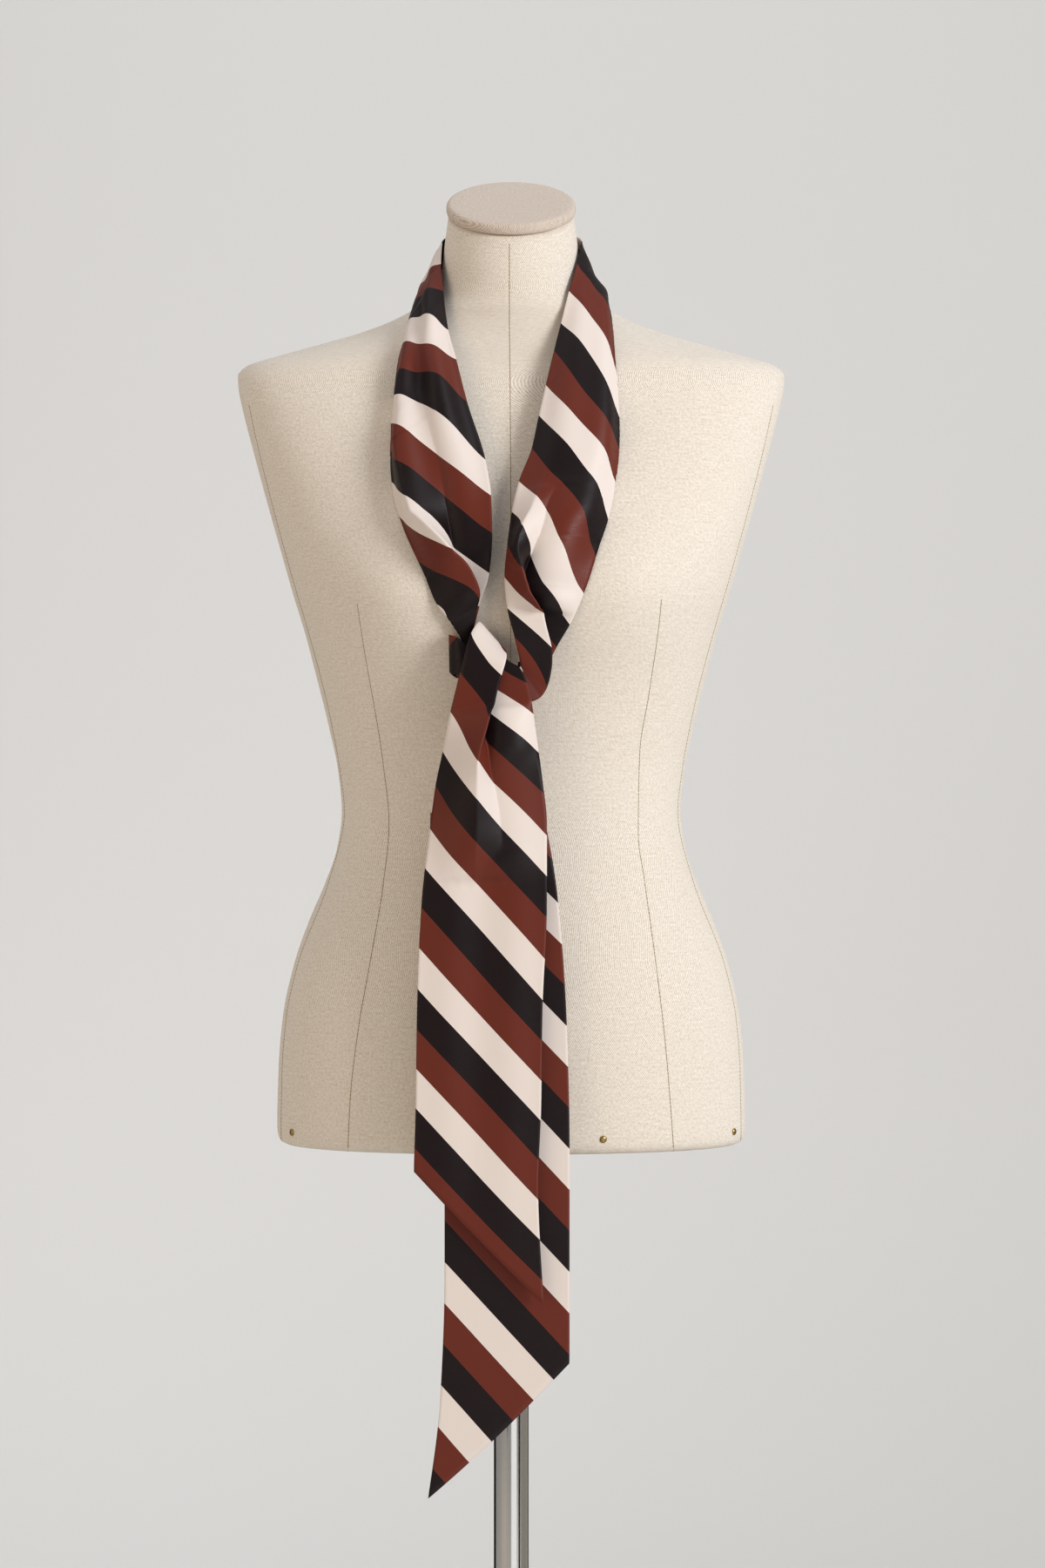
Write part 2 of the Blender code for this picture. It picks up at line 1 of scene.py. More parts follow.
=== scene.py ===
# %% [markdown]
# # A striped silk scarf on a dress form
#
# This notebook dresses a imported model. The model is a long silk scarf, tied in one loose knot on
# a linen dress form with a pole and a base. The plain solids give every size and place, and each
# cell below adds one real thing: the cloth, its stripes and folds, the linen and its seams, the
# nails and the metal. Everything is in metres, +Z is up and the front of the form faces -Y.

# %% Load the frame
import math
from collections import namedtuple

import bpy
import numpy as np
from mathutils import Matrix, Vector


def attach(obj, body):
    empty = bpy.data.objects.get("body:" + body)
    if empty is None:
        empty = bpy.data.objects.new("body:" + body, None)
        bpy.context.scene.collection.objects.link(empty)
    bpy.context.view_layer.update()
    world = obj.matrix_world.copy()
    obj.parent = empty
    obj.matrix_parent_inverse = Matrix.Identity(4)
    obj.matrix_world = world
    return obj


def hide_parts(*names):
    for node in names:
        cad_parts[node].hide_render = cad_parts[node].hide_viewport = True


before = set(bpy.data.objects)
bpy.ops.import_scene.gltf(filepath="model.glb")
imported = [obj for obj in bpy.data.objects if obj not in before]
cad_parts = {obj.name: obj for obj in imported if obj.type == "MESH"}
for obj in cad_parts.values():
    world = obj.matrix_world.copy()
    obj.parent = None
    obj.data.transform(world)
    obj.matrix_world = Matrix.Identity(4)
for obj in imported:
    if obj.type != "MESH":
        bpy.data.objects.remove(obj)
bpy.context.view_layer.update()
MM = 0.001


def new_object(name, data):
    """Put a new object with this data into the scene."""
    thing = bpy.data.objects.new(name, data)
    bpy.context.collection.objects.link(thing)
    return thing


# %% [markdown]
# ## Camera
#
# The form is seen straight from the front, from about 2.7 m, so its cap shows as a flat ellipse
# and its hem is almost straight. An 85 mm lens on an upright frame sees 1.15 m of height at the
# pole. The camera stands a little to the right of the pole, because the form stands a little to
# the left of the middle of the frame. Moving it does this with no lens shift.

# %% Camera
CAMERA_AWAY = 2.71
CAMERA_HEIGHT = 1.112
CAMERA_ASIDE = 8.3 * MM
LENS = 85
SENSOR = 36

camera_data = bpy.data.cameras.new("camera")
camera_data.lens = LENS
camera_data.sensor_fit = "VERTICAL"
camera_data.sensor_height = SENSOR
camera_data.sensor_width = SENSOR
camera = new_object("camera", camera_data)
camera.location = (CAMERA_ASIDE, -CAMERA_AWAY, CAMERA_HEIGHT)
camera.rotation_euler = (math.radians(90), 0, 0)
bpy.context.scene.camera = camera
print("the camera sees", round(CAMERA_AWAY * SENSOR / LENS, 3), "m of height at the pole")

# %% [markdown]
# ## Colours and nodes
#
# Colours are picked as they look on a screen, as sRGB hex values. Blender mixes light in linear
# values, so one function turns the one into the other. A few more small functions add nodes, set
# what they are given and make the links, which keeps each material short.

# %% Helpers for colours and nodes
def linear(hex_color):
    """Turn an sRGB hex colour into a linear RGBA colour."""
    channels = [int(hex_color[i:i + 2], 16) / 255 for i in (1, 3, 5)]
    channels = [c / 12.92 if c <= 0.04045 else ((c + 0.055) / 1.055) ** 2.4 for c in channels]
    return (*channels, 1.0)


def set_inputs(node, inputs):
    """Set inputs to values, to output sockets or to the first output of other nodes."""
    for name, value in inputs.items():
        if isinstance(value, bpy.types.Node):
            value = value.outputs[0]
        if isinstance(value, bpy.types.NodeSocket):
            node.id_data.links.new(value, node.inputs[name])
        else:
            node.inputs[name].default_value = value


def add_node(tree, kind, inputs=None, **settings):
    """Add a node of any kind with these inputs and settings."""
    node = tree.nodes.new(kind)
    for name, value in settings.items():
        setattr(node, name, value)
    set_inputs(node, inputs or {})
    return node


def add_math(tree, operation, *values):
    """Add a Math node that works on these values."""
    return add_node(tree, "ShaderNodeMath", dict(enumerate(values)), operation=operation)


def add_noise(tree, place, scale, detail):
    """Add a noise texture. Its spots are about 1 / scale apart, on every axis or on each."""
    if isinstance(scale, tuple):
        place = add_node(tree, "ShaderNodeMapping", {"Vector": place, "Scale": scale})
        scale = 1.0
    inputs = {"Vector": place, "Scale": scale, "Detail": detail}
    return add_node(tree, "ShaderNodeTexNoise", inputs)


def add_range(tree, value, *limits):
    """Add a node that moves a value from one range, low and high, to another."""
    return add_node(tree, "ShaderNodeMapRange", dict(enumerate((value, *limits))))


def add_bump(tree, height, strength, distance):
    """Add a node that bends the light as a relief of this height would."""
    inputs = {"Height": height, "Strength": strength, "Distance": distance}
    return add_node(tree, "ShaderNodeBump", inputs)


def object_place(tree):
    """Add the place on the object, in metres, as a texture's coordinates."""
    return add_node(tree, "ShaderNodeTexCoord").outputs["Object"]


def add_ramp(tree, share, *stops):
    """Add a colour ramp through stops of a position and a hex colour, listed upwards."""
    ramp = add_node(tree, "ShaderNodeValToRGB", {0: share})
    elements = ramp.color_ramp.elements
    for _ in stops[2:]:
        elements.new(1.0)
    for index, (position, color) in enumerate(stops):
        elements[index].position = position
        elements[index].color = linear(color)
    return ramp


def new_material(name, roughness, metallic=0.0):
    """Return a new material, its node tree and its Principled shader."""
    material = bpy.data.materials.new(name)
    material.use_nodes = True
    shader = material.node_tree.nodes["Principled BSDF"]
    shader.inputs["Roughness"].default_value = roughness
    shader.inputs["Metallic"].default_value = metallic
    return material, material.node_tree, shader


print("cream silk in linear values:", [round(c, 3) for c in linear("#e6dcd3")])

# %% [markdown]
# ## The form's shape
#
# A dress form is a padded shell, built up in rounds: hem, hips, waist, bust, shoulders and neck.
# So its shape is a table of rings, each with its width, its reach to the front and to the back,
# its middle, how square it is and how far it leans. A ring is a superellipse, whose power makes
# it rounder or squarer. Between the rings each value follows a smooth curve that never
# overshoots.

# %% The rings of the form
Ring = namedtuple("Ring", "height half_width front back middle power lean")
FORM_RINGS = [Ring(*row) for row in (
    (850, 165, 98, 99, 4, 2.2, 0),
    (852.5, 169.5, 103, 104, 4, 2.2, 0),
    (862, 171.3, 105, 106, 4, 2.2, 0),
    (905, 170.3, 107, 109, 4, 2.2, 0),
    (943, 167, 108, 110, 4, 2.2, 0),
    (980, 159, 107, 106, 4, 2.2, 0),
    (1012, 148, 104, 98, 4, 2.2, 0),
    (1040, 136, 100, 88, 4, 2.2, 0),
    (1066, 127.3, 96, 79, 4, 2.2, 0),
    (1092, 124, 94, 74, 4, 2.2, 0),
    (1120, 126.5, 95, 73, 4, 2.2, 0),
    (1155, 133.7, 101, 76, 4, 2.3, 0),
    (1190, 142.3, 111, 80, 4, 2.4, 0),
    (1220, 150, 121, 84, 4, 2.5, 0),
    (1250, 159, 126, 88, 4, 2.7, 0),
    (1280, 167.5, 121, 92, 5, 2.9, 0),
    (1315, 177.5, 109, 94, 7, 3.1, 0),
    (1350, 187, 96, 94, 8, 3.3, 0),
    (1380, 195, 84, 90, 9, 3.3, 0),
    (1400, 199.5, 76, 86, 10, 3.1, 0),
    (1411, 200.5, 71, 82, 10, 2.7, 0),
    (1417.5, 195, 68.5, 79, 10, 2.4, 0),
    (1424, 176, 66.5, 76, 10, 2.1, 0),
    (1433, 145, 64, 72, 10, 1.85, 0),
    (1442, 113, 62, 68, 9, 1.75, 0),
    (1450, 91, 60, 64, 7, 1.8, 2),
    (1459, 72.5, 57, 60, 3, 1.9, 4),
    (1470, 58, 54, 57, 0, 2, 8),
    (1486, 50.8, 51, 54, -5, 2, 14),
    (1505, 48.6, 50.5, 51, -8, 2, 21),
    (1527, 45.6, 49.5, 49.5, -10, 2, 27),
)]
BUST_APART = 84
BUST_HEIGHT = 1243
BUST_DEPTH = 11
BUST_SPREAD = 46


def eased(x, knots, values):
    """A smooth curve through the values that never overshoots them."""
    width = np.diff(knots)
    rise = np.diff(values) / width
    slope = np.zeros(len(knots))
    for i in range(1, len(knots) - 1):
        if rise[i - 1] * rise[i] > 0:
            before = 2 * width[i] + width[i - 1]
            after = width[i] + 2 * width[i - 1]
            slope[i] = (before + after) / (before / rise[i - 1] + after / rise[i])
    slope[0], slope[-1] = rise[0], rise[-1]
    i = np.clip(np.searchsorted(knots, x) - 1, 0, len(width) - 1)
    t = (x - knots[i]) / width[i]
    start = (1 + 2 * t) * (1 - t) ** 2 * values[i] + t * (1 - t) ** 2 * width[i] * slope[i]
    end = t * t * (3 - 2 * t) * values[i + 1] + t * t * (t - 1) * width[i] * slope[i + 1]
    return start + end


RING_STEP = 0.5
RING_HEIGHTS = np.arange(FORM_RINGS[0].height, FORM_RINGS[-1].height + RING_STEP / 2, RING_STEP)
RING_VALUES = np.array(FORM_RINGS, float)
RING_TABLE = {
    name: eased(RING_HEIGHTS, RING_VALUES[:, 0], column)
    for name, column in zip(Ring._fields, RING_VALUES.T)
}


def ring_value(name, height):
    """One value of the form's rings at any height, in millimetres."""
    return np.interp(height, RING_HEIGHTS, RING_TABLE[name])


def bust(x, z):
    """How far the bust swells forward, in millimetres."""
    away = ((np.abs(x) - BUST_APART) / BUST_SPREAD) ** 2 + ((z - BUST_HEIGHT) / BUST_SPREAD) ** 2
    return BUST_DEPTH * np.exp(-away)


def form_point(height, angle):
    """Points of the form, in millimetres. The angle runs anticlockwise from +X, seen from above."""
    cosine, sine = np.cos(angle), np.sin(angle)
    power = 2 / ring_value("power", height)
    x = ring_value("half_width", height) * np.sign(cosine) * np.abs(cosine) ** power
    reach = np.where(sine > 0, ring_value("back", height), ring_value("front", height))
    forward = reach * np.sign(sine) * np.abs(sine) ** power
    lean = np.radians(ring_value("lean", height))
    z = height + forward * np.sin(lean)
    y = ring_value("middle", height) + forward * np.cos(lean)
    y = y - np.where(sine < 0, bust(x, z), 0)
    return np.stack([x, y, z], axis=-1)


print("the shoulders are", round(2 * max(ring.half_width for ring in FORM_RINGS)), "mm wide")

# %% [markdown]
# ## Distance to the form
#
# Cloth that rests on the form must never dip into it. The superellipse also tells how far
# outside the form any point lies: its level is 1 on the surface, and the level divided by its
# slope is the distance. The direction of the slope is the way out.

# %% Distance from a point to the form
LEAN_ROUNDS = 4
LEVEL_STEP = 0.5
LEAST_SLOPE = 1e-4
SEARCH_REACH = 260.0
SEARCH_ROUNDS = 80
SEARCH_LIMIT = 20.0
SEARCH_STEP = 0.7


def form_level(points):
    """Below 1 inside the form and above 1 outside it, for points in millimetres."""
    x, y, z = points[..., 0], points[..., 1], points[..., 2]
    height = z
    for _ in range(LEAN_ROUNDS):
        slope = np.tan(np.radians(ring_value("lean", height)))
        height = z - (y - ring_value("middle", height)) * slope
    lean = np.cos(np.radians(ring_value("lean", height)))
    forward = (y - ring_value("middle", height)) / lean
    front = forward < 0
    forward = forward + np.where(front, bust(x, z), 0)
    reach = np.where(front, ring_value("front", height), ring_value("back", height))
    power = ring_value("power", height)
    side = np.abs(x) / ring_value("half_width", height)
    return (side ** power + np.abs(forward / reach) ** power) ** (1 / power)


def form_distance(points):
    """The distance outside the form, in millimetres, and the direction that leads away from it."""
    level = form_level(points)
    slopes = []
    for axis in range(3):
        shift = np.zeros(3)
        shift[axis] = LEVEL_STEP
        rise = form_level(points + shift) - form_level(points - shift)
        slopes.append(rise / (2 * LEVEL_STEP))
    gradient = np.stack(slopes, axis=-1)
    size = np.maximum(np.linalg.norm(gradient, axis=-1), LEAST_SLOPE)
    return (level - 1) / size, gradient / size[..., None]


def slide_to_form(points, way):
    """Slide points along a unit direction until they lie on the form, in millimetres."""
    for _ in range(SEARCH_ROUNDS):
        gap, _ = form_distance(points)
        step = np.clip(gap, -SEARCH_LIMIT, SEARCH_LIMIT) * SEARCH_STEP
        points = points + way * step[:, None]
    return points


chest = slide_to_form(np.array([[0.0, -SEARCH_REACH, BUST_HEIGHT]]), np.array([0.0, 1.0, 0.0]))
print("the chest between the breasts is at y", round(float(chest[0, 1])))

# %% [markdown]
# ## Linen
#
# The form is covered with raw linen: flat, uneven flax threads, natural and unbleached, with a
# dry, matte look. The threads run in a small diagonal twill, so the weave is two sets of threads,
# with one shifting against the other, plus changes of colour where the yarn is thicker. The
# pattern follows the cover's own UV map, which is laid out in metres.

# %% Linen material
LINEN_THREAD = 1.5 * MM  # real threads are 0.6 mm; drawn coarser, so that the weave still shows
CROSS_THREAD = 0.61 * LINEN_THREAD
TWILL_SLANT = 0.8


def linen_material(name, light, dark):
    """Woven linen, with its threads in metres on the UV map."""
    material, tree, shader = new_material(name, 0.92)
    place = add_node(tree, "ShaderNodeUVMap", uv_map="cloth")
    axes = add_node(tree, "ShaderNodeSeparateXYZ", {0: place})
    wobble = add_noise(tree, place, 330.0, 1.0)
    threads = []
    for slant, spacing in ((TWILL_SLANT, LINEN_THREAD), (-TWILL_SLANT, CROSS_THREAD)):
        across = add_math(tree, "MULTIPLY", axes.outputs["Y"], slant)
        along = add_math(tree, "ADD", axes.outputs["X"], across)
        phase = add_math(tree, "MULTIPLY", along, 2 * math.pi / spacing)
        uneven = add_math(tree, "MULTIPLY_ADD", wobble, 5.0, phase)
        threads.append(add_math(tree, "SINE", uneven))
    weave = add_math(tree, "MULTIPLY_ADD", threads[1], 0.55, threads[0])
    slub = add_noise(tree, place, 520.0, 2.0)
    streak = add_noise(tree, place, (70.0, 900.0, 1.0), 1.0)
    shade = add_math(tree, "MULTIPLY_ADD", streak, 0.3, -0.055)
    shade = add_math(tree, "MULTIPLY_ADD", slub, 0.9, shade)
    shade = add_math(tree, "MULTIPLY_ADD", weave, 0.26, shade)
    set_inputs(shader, {
        "Base Color": add_ramp(tree, shade, (0.1, dark), (0.85, light)),
        "Normal": add_bump(tree, weave, 0.35, 0.12 * MM),
        "Specular IOR Level": 0.2, "Sheen Weight": 0.15, "Sheen Roughness": 0.6,
    })
    return material


linen = linen_material("unbleached_linen", "#f4ebe0", "#c4b49c")
print("linen threads every", LINEN_THREAD / MM, "mm")

# %% [markdown]
# ## The covered form
#
# The rings are stacked into one skin. Rows lie closer where the outline turns, such as on the
# shoulders, so their spacing follows the length of the outline and not the height. The skin gets
# a lid at the hem, where the real form has a board, and one at the neck under the cap.

# %% Mesh helpers
SHARP_ANGLE = math.radians(35)


def make_piece(name, points, faces, material, uv=None):
    """Return an object with these points in metres. uv maps a name to a value for each point."""
    mesh = bpy.data.meshes.new(name)
    mesh.from_pydata(np.asarray(points).tolist(), [], faces)
    mesh.update()
    corner_point = np.zeros(len(mesh.loops), int)
    mesh.loops.foreach_get("vertex_index", corner_point)
    for layer_name, values in (uv or {}).items():
        layer = mesh.uv_layers.new(name=layer_name)
        layer.data.foreach_set("uv", np.asarray(values, float)[corner_point].ravel())
    mesh.materials.append(material)
    mesh.shade_smooth()
    return new_object(name, mesh)


def stack_faces(rows, sides):
    """Quads between stacked rings of points, with a lid on the first ring and on the last."""
    faces = []
    for row in range(rows - 1):
        for side in range(sides):
            a = row * sides + side
            b = row * sides + (side + 1) % sides
            faces.append((a, b, b + sides, a + sides))
    faces.append(tuple(reversed(range(sides))))
    faces.append(tuple(range((rows - 1) * sides, rows * sides)))
    return faces


def full_turn(sides):
    """Even angles round a full turn."""
    return np.linspace(0, 2 * math.pi, sides, endpoint=False)


def turned(name, profile, sides, material):
    """A piece turned round the Z axis from (radius, height) points in metres, listed upwards."""
    angle = full_turn(sides)
    points = []
    for radius, height in profile:
        points += [(radius * c, radius * s, height) for c, s in zip(np.cos(angle), np.sin(angle))]
    piece = make_piece(name, points, stack_faces(len(profile), sides), material)
    piece.data.set_sharp_from_angle(angle=SHARP_ANGLE)
    return piece


# %% The torso
FORM_ROWS = 190
FORM_SIDES = 168


def spread(steps, places, count):
    """Take this many of the places, evenly along the steps that lie between them."""
    total = np.concatenate([[0], np.cumsum(steps)])
    return np.interp(np.linspace(0, total[-1], count), total, places)


form_angle = full_turn(FORM_SIDES) + math.pi / 2
outline = np.hypot(np.diff(RING_HEIGHTS), np.diff(RING_TABLE["half_width"]))
form_rows = spread(outline, RING_HEIGHTS, FORM_ROWS)
torso_points = form_point(form_rows[:, None], form_angle[None, :]) * MM
around = np.linalg.norm(np.roll(torso_points, -1, axis=1) - torso_points, axis=2)
down = np.linalg.norm(np.diff(torso_points, axis=0), axis=2)
weave_u = np.cumsum(around, axis=1)
weave_v = np.concatenate([np.zeros((1, FORM_SIDES)), np.cumsum(down, axis=0)])
weave_v = weave_v.mean(axis=1, keepdims=True) + 0 * weave_u
torso_uv = np.stack([weave_u, weave_v], axis=-1).reshape(-1, 2)
torso = make_piece(
    "torso_cover", torso_points.reshape(-1, 3), stack_faces(FORM_ROWS, FORM_SIDES),
    linen, {"cloth": torso_uv},
)
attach(torso, "root")
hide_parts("torso")
print("torso faces:", len(torso.data.polygons))

# %% [markdown]
# ## The neck cap
#
# The cap is a disc of card with linen pulled over it, a little darker than the rest. It tips
# forward with the neck, has a soft rim and sits on the neck with a dark shadow line under it.

# %% Neck cap
CAP_GAP = 0.3
CAP_SIDES = 128
CAP_RIM_SPREAD = 60
CAP_PROFILE = [
    (0.0, 0.93), (0.9, 0.96), (1.1, 1.0), (1.8, 1.025), (3.2, 1.035), (5.2, 1.037), (6.8, 1.032),
    (8.0, 1.015), (8.8, 0.99), (9.0, 0.955), (9.05, 0.80), (9.1, 0.45), (9.1, 0.15),
]
top = FORM_RINGS[-1]
cap_lean = math.radians(top.lean)
cap_turn = full_turn(CAP_SIDES)
cap_points, cap_uv = [], []
for rise, scale in CAP_PROFILE:
    across = top.half_width * scale * np.cos(cap_turn)
    forward = top.front * scale * np.sin(cap_turn)
    up = rise + CAP_GAP
    y = top.middle + forward * math.cos(cap_lean) - up * math.sin(cap_lean)
    z = top.height + forward * math.sin(cap_lean) + up * math.cos(cap_lean)
    cap_points.append(np.stack([across, y, z], axis=-1) * MM)
    cap_uv.append(np.stack([across, forward * (1 + rise / CAP_RIM_SPREAD)], axis=-1) * MM)
cap_linen = linen_material("cap_linen", "#dccdbf", "#b09e8a")
cap = make_piece(
    "neck_cap_cover", np.concatenate(cap_points), stack_faces(len(CAP_PROFILE), CAP_SIDES),
    cap_linen, {"cloth": np.concatenate(cap_uv)},
)
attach(cap, "root")
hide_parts("neck_cap")
print("the cap leans forward", top.lean, "degrees")

# %% [markdown]
# ## The stand
#
# The pole is chromed steel tube, and the base is a chromed disc. Chrome is almost a mirror, so
# what it shows is the room: its colour is nearly white, its roughness low, and very fine, faint
# rubbing marks break its reflection up. The sleeve under the form is the same metal.

# %% Chrome and the stand's pieces
def chrome_material():
    """Polished chrome plate with faint rubbing marks round the tube."""
    material, tree, shader = new_material("polished_chrome", 0.12, 1.0)
    marks = add_noise(tree, object_place(tree), (60.0, 60.0, 2400.0), 3.0)
    rough = add_range(tree, marks, 0.3, 0.8, 0.09, 0.2)
    set_inputs(shader, {"Base Color": linear("#c9c8c6"), "Roughness": rough})
    return material


chrome = chrome_material()
HEM_BOTTOM = FORM_RINGS[0].height * MM
BASE_TOP = 9 * MM
HUB_TOP = 35 * MM
POLE_RADIUS = 0.0127
SLEEVE_LENGTH = 0.0503
FIT_GAP = 0.0003
POLE_TOP = HEM_BOTTOM - SLEEVE_LENGTH - FIT_GAP

base_profile = [
    (0.02, 0), (0.1585, 0), (0.1594, 0.0004), (0.16, 0.0015), (0.16, 0.0072), (0.1592, 0.0086),
    (0.158, 0.009), (0.027, BASE_TOP), (0.0246, 0.0095), (0.024, 0.011),
    (0.024, HUB_TOP - 0.0015), (0.0235, HUB_TOP - 0.0005), (0.0225, HUB_TOP), (0.0135, HUB_TOP),
]
base = turned("base_disc", base_profile, 160, chrome)
pole_profile = [(POLE_RADIUS, HUB_TOP + FIT_GAP), (POLE_RADIUS, POLE_TOP)]
pole = turned("pole_tube", pole_profile, 72, chrome)
sleeve_profile = [(radius, HEM_BOTTOM - drop) for radius, drop in (
    (0.0175, SLEEVE_LENGTH), (0.0185, 0.0498), (0.019, 0.0488), (0.019, 0.0063), (0.0198, 0.0055),
    (0.041, 0.0052), (0.0418, 0.0046), (0.042, 0.0038), (0.042, 0.0004),
)]
sleeve = turned("sleeve_collar", sleeve_profile, 96, chrome)
for piece, node in ((base, "base"), (pole, "pole"), (sleeve, "sleeve")):
    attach(piece, "root")
    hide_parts(node)
print("pole length, mm:", round((POLE_TOP - HUB_TOP) / MM))

# %% [markdown]
# ## The scarf as one strip
#
# The scarf is one long strip, so it is measured as a maker would: how far along it, in stripes,
# and how far across it, as a share of its width. The table says where the strip's two edges run
# and how much slack lies between them. The cloth can't shrink, so each section across keeps the
# strip's true width: it is walked in short steps, each turned by the folds that it crosses, and
# the arch that remains is found by halving until the section's ends meet the two edges.

# %% The strip's route
STRIP_WIDTH = 86.0
STRIPE = 27.85
FOLD_SHARE = 0.032
BEND_SHARE = 0.6
HEADING_STEPS = 240
WAVES_ACROSS = 2.0
CLEARANCE = 0.7
SILK_THICKNESS = 0.7

